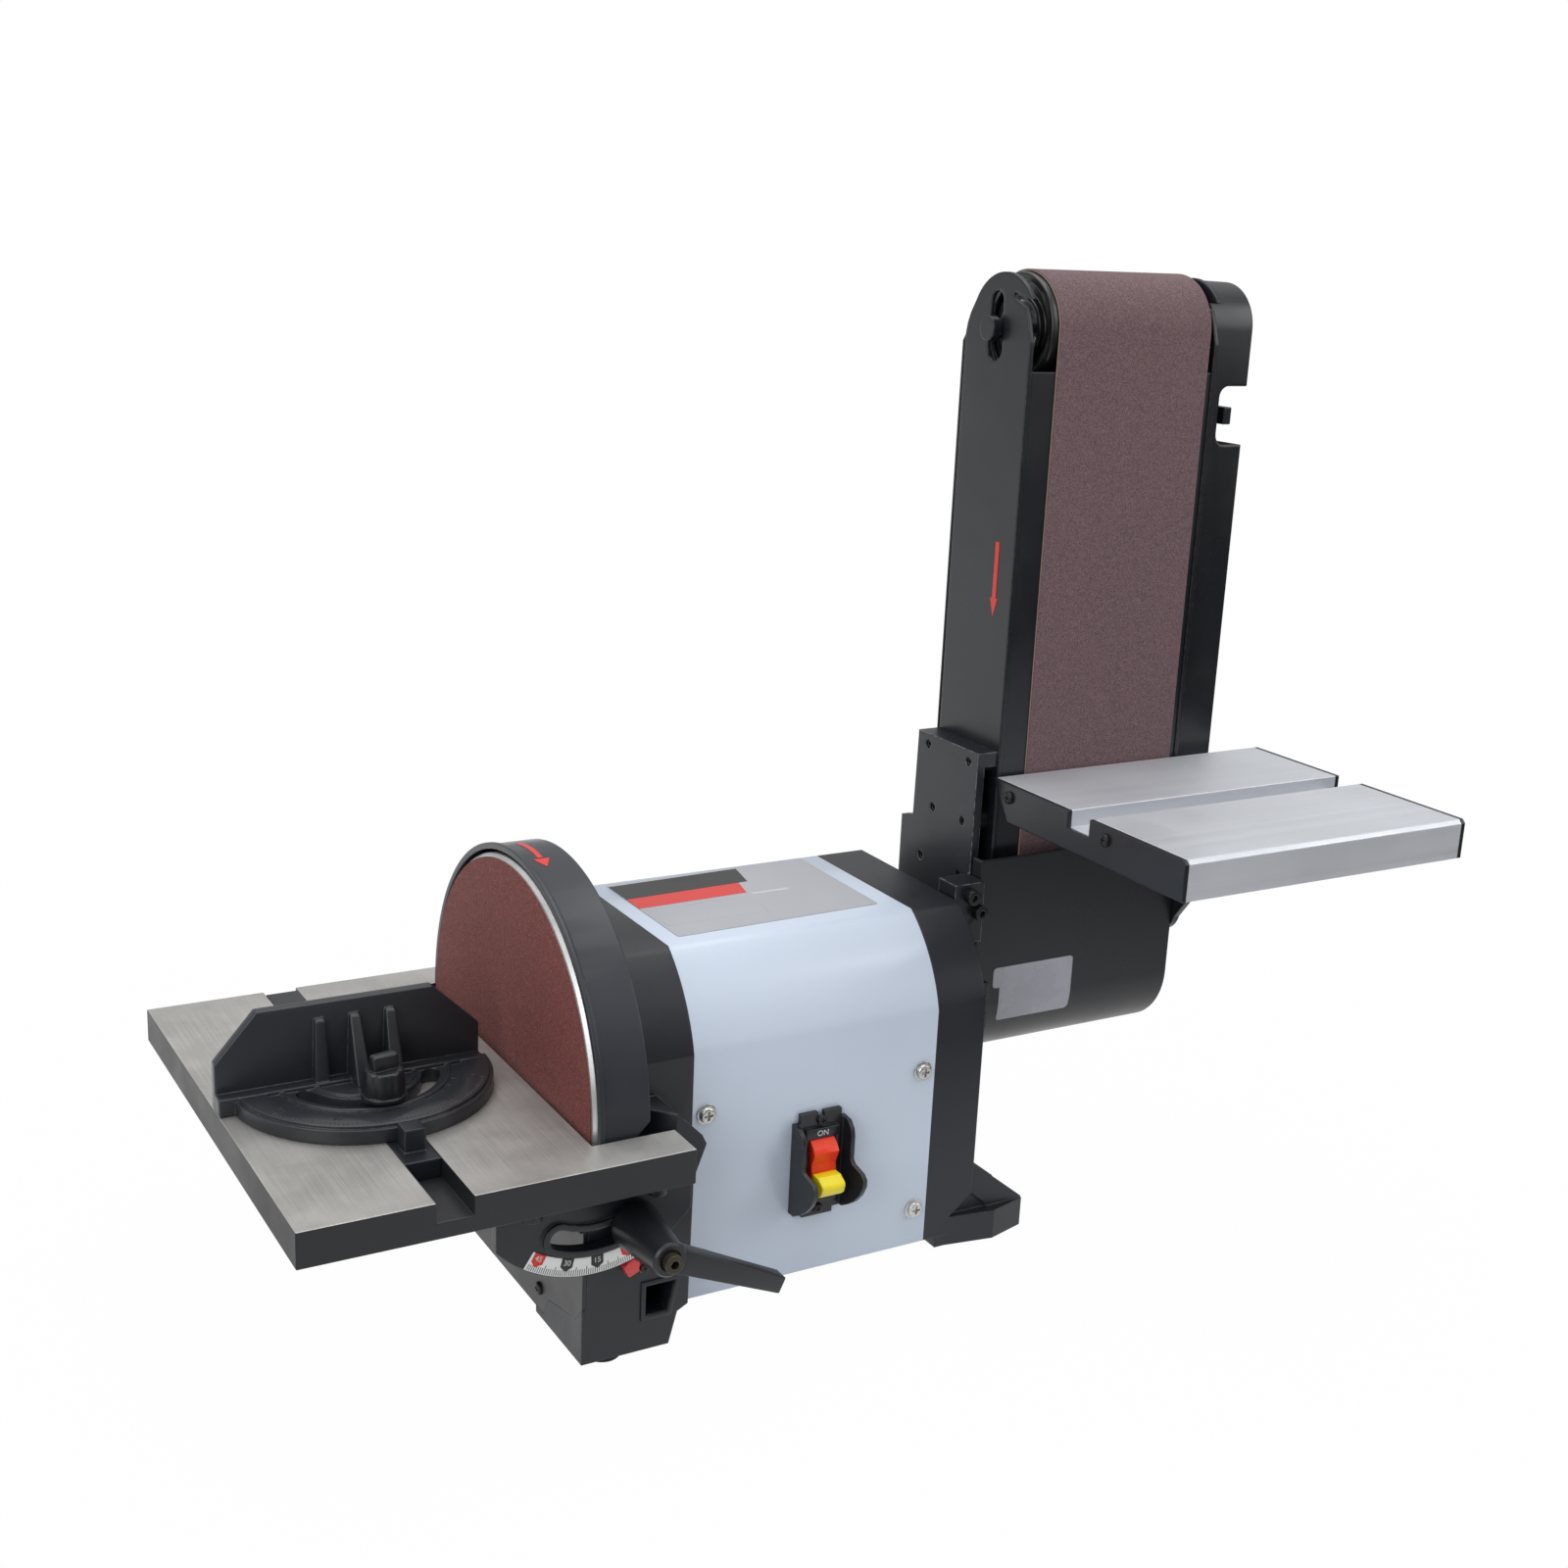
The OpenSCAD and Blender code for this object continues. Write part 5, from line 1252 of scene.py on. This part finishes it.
    def gland(self) -> None:
        """Turns the cable gland with its hexagon and its ribbed nut."""
        sketch = Sketch()
        hexagon, inner = ring(GLAND, 10.8, 6), ring(GLAND, 4.2, 36)
        sketch.soften(sketch.sheet(Axis.Y, 80.0, 86.0, hexagon, [inner]), 0.6, 2)
        sketch.sheet(Axis.Y, 86.0, 97.5, lobes(GLAND, 8.0, 0.5, 18), [inner])
        sketch.lathe(Axis.Y, GLAND, [
            (4.2, 97.5), (7.2, 97.5), (7.0, 98.8), (6.0, 99.8), (4.2, 100.0)], 36)
        sketch.piece("gland_nut", "base", Palette.plastic, ["cable_gland"])


@dataclass
class Spindle:
    """The motor's shaft with the disc, the fan and the drive drum."""

    frame: Frame

    def build(self) -> None:
        """Dresses the nodes and lays the abrasive disc."""
        self.frame.dress(Palette.steel, "motor_shaft")
        self.frame.dress(Palette.laminated, "rotor_core")
        self.frame.rounded("cooling_fan", Palette.plastic, 0.4)
        self.frame.rounded("disc_plate", Palette.cast_alu, 0.5, 3, 25.0)
        self.frame.rounded("drive_drum", Palette.steel, 0.8)
        grains = Sketch()
        grains.lathe(Axis.X, (0.0, 0.0), [(0.0, 0.02), (60.0, 0.0), (DISC_R - 0.3, 0.0),
                                          (DISC_R - 0.05, 0.12), (DISC_R - 0.05, 0.6), (0.0, 0.6)], 144)
        grains.piece("disc_grains", "spindle", Palette.disc_grit, ["sanding_disc"])
        backing = Sketch()
        backing.lathe(Axis.X, (0.0, 0.0), [(0.0, 0.6), (DISC_R, 0.6), (DISC_R, 1.0), (0.0, 1.0)], 144)
        backing.piece("disc_backing", "spindle", Palette.backing)


@dataclass
class BeltArm:
    """The tilting arm with its belt, guards and idler."""

    frame: Frame

    def build(self) -> None:
        """Dresses the nodes and adds the arm's pieces."""
        rounded = self.frame.rounded
        rounded("arm_bracket", Palette.chipped, 0.9, 3)
        rounded("belt_frame", Palette.folded, 0.5)
        rounded("platen", Palette.sheet, 0.3)
        rounded("drum_cover", Palette.folded, 0.5)
        guard = rounded("belt_guard", Palette.folded, 0.6, 3)
        self.clip(guard, (274.0, 0.0, 354.0), (-18.5, 0.0, 9.0))
        rounded("table_support", Palette.sheet, 0.6)
        rounded("tension_lever", Palette.plastic, 1.4, 3)
        rounded("idler_axle", Palette.sheet, 0.9, 3)
        rounded("idler_slider", Palette.black_steel, 0.5)
        rounded("frame_screws", Palette.black_steel, 0.2)
        self.frame.dress(Palette.zinc, "tension_spring")
        self.frame.dress(Palette.bearing, "idler_bearings")
        rounded("idler_drum", Palette.drum, 2.2, 4)
        self.belt()
        self.arrow()
        self.sticker()
        self.knob()
        screw_set("arm_screw_heads", "arm", Palette.black_steel, Head(4.2, 4.8, Drive.HEX, 0.12),
                  Axis.Y, [(-44.0, centre, -1) for centre in ARM_SCREWS], ["arm_screws"])

    def clip(self, made: bpy.types.Object, corner: Point, outward: Point) -> None:
        """Cuts what lies beyond a plane off a rounded copy.

        Args:
            made: The copy.
            corner: A point on the plane, in millimetres.
            outward: The direction that the plane faces.
        """
        bm = bmesh.new()
        bm.from_mesh(made.data)
        cut = bmesh.ops.bisect_plane(
            bm, geom=bm.verts[:] + bm.edges[:] + bm.faces[:], clear_outer=True,
            plane_co=TO_BENCH @ Vector(corner), plane_no=Vector(outward).normalized())
        edges = [g for g in cut["geom_cut"] if isinstance(g, bmesh.types.BMEdge)]
        bmesh.ops.holes_fill(bm, edges=edges)
        bm.to_mesh(made.data)
        bm.free()

    def belt(self) -> None:
        """Lays the belt as cloth with abrasive on its outside."""
        grains = Sketch()
        grains.tube(Axis.X, BELT_X[0] + 0.4, BELT_X[1] - 0.4, belt_path(BELT_OUT),
                    belt_path(BELT_IN + 0.55))
        grains.piece("belt_grains", "arm", Palette.belt_grit, ["sanding_belt"])
        cloth = Sketch()
        cloth.tube(Axis.X, BELT_X[0], BELT_X[1], belt_path(BELT_IN + 0.56), belt_path(BELT_IN))
        cloth.piece("belt_cloth", "arm", Palette.backing)

    def arrow(self) -> None:
        """Puts the red arrow that shows the belt's run on the side plate."""
        sketch = Sketch()
        y, x = -15.4, FRAME_X
        sketch.prism(Axis.X, x - 0.14, x - 0.02, [
            (y - 1.7, 253.0), (y - 1.7, 222.6), (y - 3.4, 223.2), (y, 212.6),
            (y + 3.4, 223.2), (y + 1.7, 222.6), (y + 1.7, 253.0)])
        sketch.piece("belt_arrow", "arm", Palette.signal)

    def sticker(self) -> None:
        """Wraps the blank pale sticker around the front of the drum cover."""
        out, inner = SHROUD_R + 0.14, SHROUD_R + 0.02

        def skin(high: float, low: float) -> list[Flat]:
            """Returns the sticker's section between two heights."""
            if low >= 0:
                return [(-out, high), (-out, low), (-inner, low), (-inner, high)]
            lean = math.degrees(math.asin(-low / SHROUD_R))
            bend = arc((0, 0), 1.0, 180, 180 + lean, 10)
            return [(-out, high)] + [(y * out, z * out) for y, z in bend] + [
                (y * inner, z * inner) for y, z in reversed(bend)] + [(-inner, high)]

        sketch = Sketch()
        for start, end, high, low in (
                (271.4, 271.9, 18.6, 9.4), (271.9, 272.9, 19.5, 8.5), (272.9, 276.2, 20.0, 8.0),
                (276.2, 276.7, 20.0, -11.0), (276.7, 277.7, 20.0, -11.9), (277.7, 324.8, 20.0, -12.4),
                (324.8, 325.8, 19.5, -11.9), (325.8, 326.3, 18.6, -11.0)):
            sketch.prism(Axis.X, start, end, skin(high, low))
        sketch.piece("drum_cover_sticker", "arm", Palette.sticker)

    def knob(self) -> None:
        """Turns the fluted tracking knob."""
        sketch = Sketch()
        sketch.rod(Axis.Y, 13.0, 38.0, 3.0, TRACKING_KNOB)
        grip = sketch.prism(Axis.Y, 38.0, 54.5, lobes(TRACKING_KNOB, 11.9, 1.1, 12))
        sketch.soften(grip, 0.9, 3, 40)
        sketch.lathe(Axis.Y, TRACKING_KNOB, [
            (0.0, 54.4), (8.0, 54.4), (7.6, 55.4), (6.6, 55.9), (0.0, 56.0)], 36)
        sketch.piece("tracking_knob_grip", "tracking_handle", Palette.plastic, ["tracking_knob"])


@dataclass
class BeltTable:
    """The aluminium table in front of the belt."""

    frame: Frame

    def build(self) -> None:
        """Dresses the nodes and adds the table's pieces."""
        self.frame.rounded("belt_table_top", Palette.aluminium, 0.5, 3)
        self.frame.rounded("belt_table_end_caps", Palette.sheet, 0.4)
        self.frame.rounded("belt_table_bracket", Palette.sheet, 0.6)
        ends = ((265.9, -1), (454.5, 1))
        screw_set("end_cap_screw_heads", "belt_table", Palette.black_steel,
                  Head(3.5, 1.9, Drive.CROSS), Axis.X,
                  [(seat, centre, side) for centre in END_CAP_SCREWS for seat, side in ends],
                  ["end_cap_screws"])
        knob, centre = Sketch(), BELT_TABLE_KNOB
        knob.rod(Axis.X, 396.6, 404.7, 4.0, centre)
        knob.soften(knob.prism(Axis.X, 404.7, 408.0, ring(centre, 9.0, 40)), 0.5, 2)
        knob.soften(knob.prism(Axis.X, 408.0, 422.5, lobes(centre, 13.9, 2.6, 6)), 1.6, 4, 40)
        knob.lathe(Axis.X, centre, [
            (0.0, 422.4), (8.5, 422.4), (8.0, 423.8), (6.5, 424.6), (0.0, 424.7)], 36)
        knob.piece("belt_table_grip", "belt_table_handle", Palette.plastic, ["belt_table_knob"])


@dataclass
class DiscTable:
    """The ground table at the disc, with its trunnions, dial and lock levers."""

    frame: Frame

    def build(self) -> None:
        """Dresses the nodes and adds the dial."""
        rounded = self.frame.rounded
        rounded("disc_table_top", Palette.table, 0.5, 3)
        rounded("front_trunnion", Palette.casting, 0.8, 3)
        rounded("rear_trunnion", Palette.casting, 0.8, 3)
        rounded("trunnion_bolts", Palette.casting, 0.8, 3)
        self.lever("front_lock_lever", -1)
        self.lever("rear_lock_lever", 1)
        rounded("tilt_scale", Palette.scale, 0.1)
        self.dial()

    def lever(self, node: str, side: int) -> None:
        """Builds a lock lever: a tapered hub with a socket screw in its end, and a bevelled bar.

        Args:
            node: The node that it stands in for.
            side: -1 in front of the motor, 1 behind it.
        """
        x, z = LOCK
        back, end = side * LEVER_SEAT, side * LEVER_END
        sketch = Sketch()
        sketch.lathe(Axis.Y, (x, z), [
            (0.0, back), (11.7, back), (12.2, back + side * 0.8), (11.9, back + side * 5),
            (9.6, back + side * 26), (8.9, end - side * 6), (8.6, end - side * 1.2), (7.6, end),
            (5.3, end), (5.3, end - side * 3), (0.0, end - side * 3)])
        sketch.rod(Axis.Y, side * 97.5, back, 4.0, (x, z))
        dip = math.radians(LEVER_DIP)
        outline = [(0.0, 7.2), (12.0, 6.0), (LEVER_REACH, 4.3), (LEVER_REACH, -4.3), (12.0, -6.0),
                   (0.0, -7.2)]
        bar = sketch.prism(Axis.Y, end - side * 10.6, end - side * 1.6, [
            (x + a * math.cos(dip) + b * math.sin(dip), z - a * math.sin(dip) + b * math.cos(dip))
            for a, b in outline])
        sketch.soften(bar, 0.9, 2, 25)
        sketch.piece(node + "_arm", self.frame.body_of(node), Palette.plastic, [node])
        screw_set(node + "_screw", self.frame.body_of(node), Palette.bronze,
                  Head(4.7, 7.4, Drive.HEX, 0.08), Axis.Y, [(end - side * 3, (x, z), side)])

    def dial(self) -> None:
        """Draws the dial's ticks and its numbered tabs."""
        face = TRUNNION_Y - 0.5
        ticks = Sketch()
        for step in range(-3, 49):
            lean = DIAL_ZERO - step
            low = 62.4 if step % 5 else 61.0
            if DIAL_ENDS[0] <= lean <= DIAL_ENDS[1]:
                verts = ticks.block((-0.17, face - 0.06, -DIAL_RIM), (0.17, face + 0.02, -low))
                ticks.turned(verts, (0, 0, 0), -lean, Axis.Y)
        ticks.piece("dial_ticks", "disc_table", Palette.ink)
        tabs = {True: Sketch(), False: Sketch()}
        for value in (45, 30, 15, 0):
            lean = DIAL_ZERO - value
            red = value in (0, 45)
            verts = tabs[red].prism(Axis.Y, face - 0.08, face + 0.02, [
                (-3.1, -56.4), (3.1, -56.4), (3.1, -60.9), (0.0, -63.2), (-3.1, -60.9)])
            tabs[red].turned(verts, (0, 0, 0), -lean, Axis.Y)
            spin = Matrix.Rotation(math.radians(-lean), 4, "Y")
            place = spin @ Matrix.Translation((0, face - 0.08, -58.9))
            mesh = lettering(str(value), 2.7, place @ TOWARDS_OPERATOR, 0.05)
            settle(mesh, f"dial_number_{value}", "disc_table", Palette.scale)
        tabs[True].piece("dial_end_tabs", "disc_table", Palette.signal)
        tabs[False].piece("dial_tabs", "disc_table", Palette.ink)


@dataclass
class MiterGauge:
    """The miter gauge that slides in the disc table."""

    frame: Frame

    def build(self) -> None:
        """Dresses the bar, and builds the head and the knob."""
        self.frame.rounded("miter_bar", Palette.casting, 0.5)
        self.head()
        self.knob()

    def head(self) -> None:
        """Builds the half disc with its slot, scale and fence."""
        x, y = GAUGE
        base = Sketch()
        outer = arc((x, y), GAUGE_R, 180, 360, 72)
        half, first, last = 4.5, 200, 340
        start, end = (arc((x, y), GAUGE_KNOB_R, angle, angle, 1)[0] for angle in (first, last))
        slot = (arc((x, y), GAUGE_KNOB_R + half, first, last, 40)
                + arc(end, half, last, last + 180, 10)[1:-1]
                + arc((x, y), GAUGE_KNOB_R - half, last, first, 40)
                + arc(start, half, first - 180, first, 10)[1:-1])
        base.soften(base.sheet(Axis.Z, 0.5, 7.0, outer, [slot]), 0.7, 3)
        for inner, far, top in ((48.5, 61.0, 8.6), (40.2, 42.4, 8.0), (23.8, 26.0, 8.0)):
            ring = arc((x, y), far, 184, 356, 60) + arc((x, y), inner, 356, 184, 60)
            base.soften(base.prism(Axis.Z, 6.6, top, ring), 0.4, 2)
        fence = [(x - 70, 0.5), (x + 60, 0.5), (x + 60, 24), (x + 36, 47), (x - 50, 47), (x - 70, 24)]
        base.soften(base.prism(Axis.Y, y, y + 6, fence), 0.9, 3)
        base.soften(base.block((x - 70, y - 7, 0.5), (x + 60, y + 1, 9.0)), 0.8, 3)
        for place, depth in ((-20.4, 5.4), (-3.4, 16.0), (14.2, 12.0)):
            gusset = base.prism(Axis.X, x + place - 3.6, x + place + 3.6, [
                (y + 1, 6.6), (y - depth - 0.6, 6.6), (y - depth, 9.0), (y - 2.6, 38.5), (y + 1, 40.5)])
            for vert in gusset:
                vert.co.x -= (vert.co.x - x - place) * 0.32 * (vert.co.z - 6.6) / 34
            base.soften(gusset, 0.9, 3)
        for reach, drop, gap in ((45.0, -1.6, 10), (59.4, 0.0, 2)):
            for step in range(-60, 61, gap):
                verts = base.block((-0.16, -0.7, 8.4), (0.16, 0.7 if step % 10 else 1.4, 8.75))
                spin = Matrix.Translation((x, y, 0)) @ Matrix.Rotation(math.radians(step), 4, "Z")
                place = spin @ Matrix.Translation((0, -reach + 0.6, drop))
                bmesh.ops.transform(base.bm, matrix=place, verts=verts)
        base.piece("gauge_head_body", "gauge_head", Palette.gauge, ["miter_head"])
        for value in (60, 30, 0, -30, -60):
            spin = Matrix.Translation((x, y, 8.6)) @ Matrix.Rotation(math.radians(value), 4, "Z")
            mesh = lettering(str(abs(value)), 3.2, spin @ Matrix.Translation((0, -53.6, 0)), 0.15)
            settle(mesh, f"gauge_number_{value}", "gauge_head", Palette.plastic)

    def knob(self) -> None:
        """Builds the clamp knob: a fluted drum with a thumb bar on top."""
        x, y = GAUGE[0], GAUGE[1] - GAUGE_KNOB_R
        sketch = Sketch()
        sketch.rod(Axis.Z, -6.0, 9.5, 3.0, (x, y))
        sketch.lathe(Axis.Z, (x, y), [(0.0, 9.5), (10.7, 9.5), (10.9, 10.0), (10.7, 11.2), (10.2, 11.6),
                                      (0.0, 11.6)], 48)
        drum = sketch.prism(Axis.Z, 11.2, 23.5, lobes((x, y), 10.3, 0.6, 8))
        for vert in drum:
            if vert.co.z > 20:
                vert.co.x = x + (vert.co.x - x) * 0.9
                vert.co.y = y + (vert.co.y - y) * 0.9
        sketch.soften(drum, 1.0, 3, 40)
        bar = sketch.block((x - 6.6, y - 2.9, 22.5), (x + 6.6, y + 2.9, 31.0))
        sketch.turned(bar, (x, y, 0), 12, Axis.Z)
        sketch.soften(bar, 1.4, 4)
        sketch.piece("gauge_knob_grip", "gauge_knob", Palette.plastic, ["miter_knob"])


def main() -> None:
    """Builds every sub-assembly around the frame."""
    logging.basicConfig(level=logging.INFO, format="%(name)s: %(message)s")
    frame = Frame(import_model())
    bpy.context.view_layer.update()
    Studio().build()
    for part in (Housing, Spindle, BeltArm, BeltTable, DiscTable, MiterGauge):
        part(frame).build()
        LOG.info("%s is built", part.__name__)


if __name__ == "__main__":
    main()
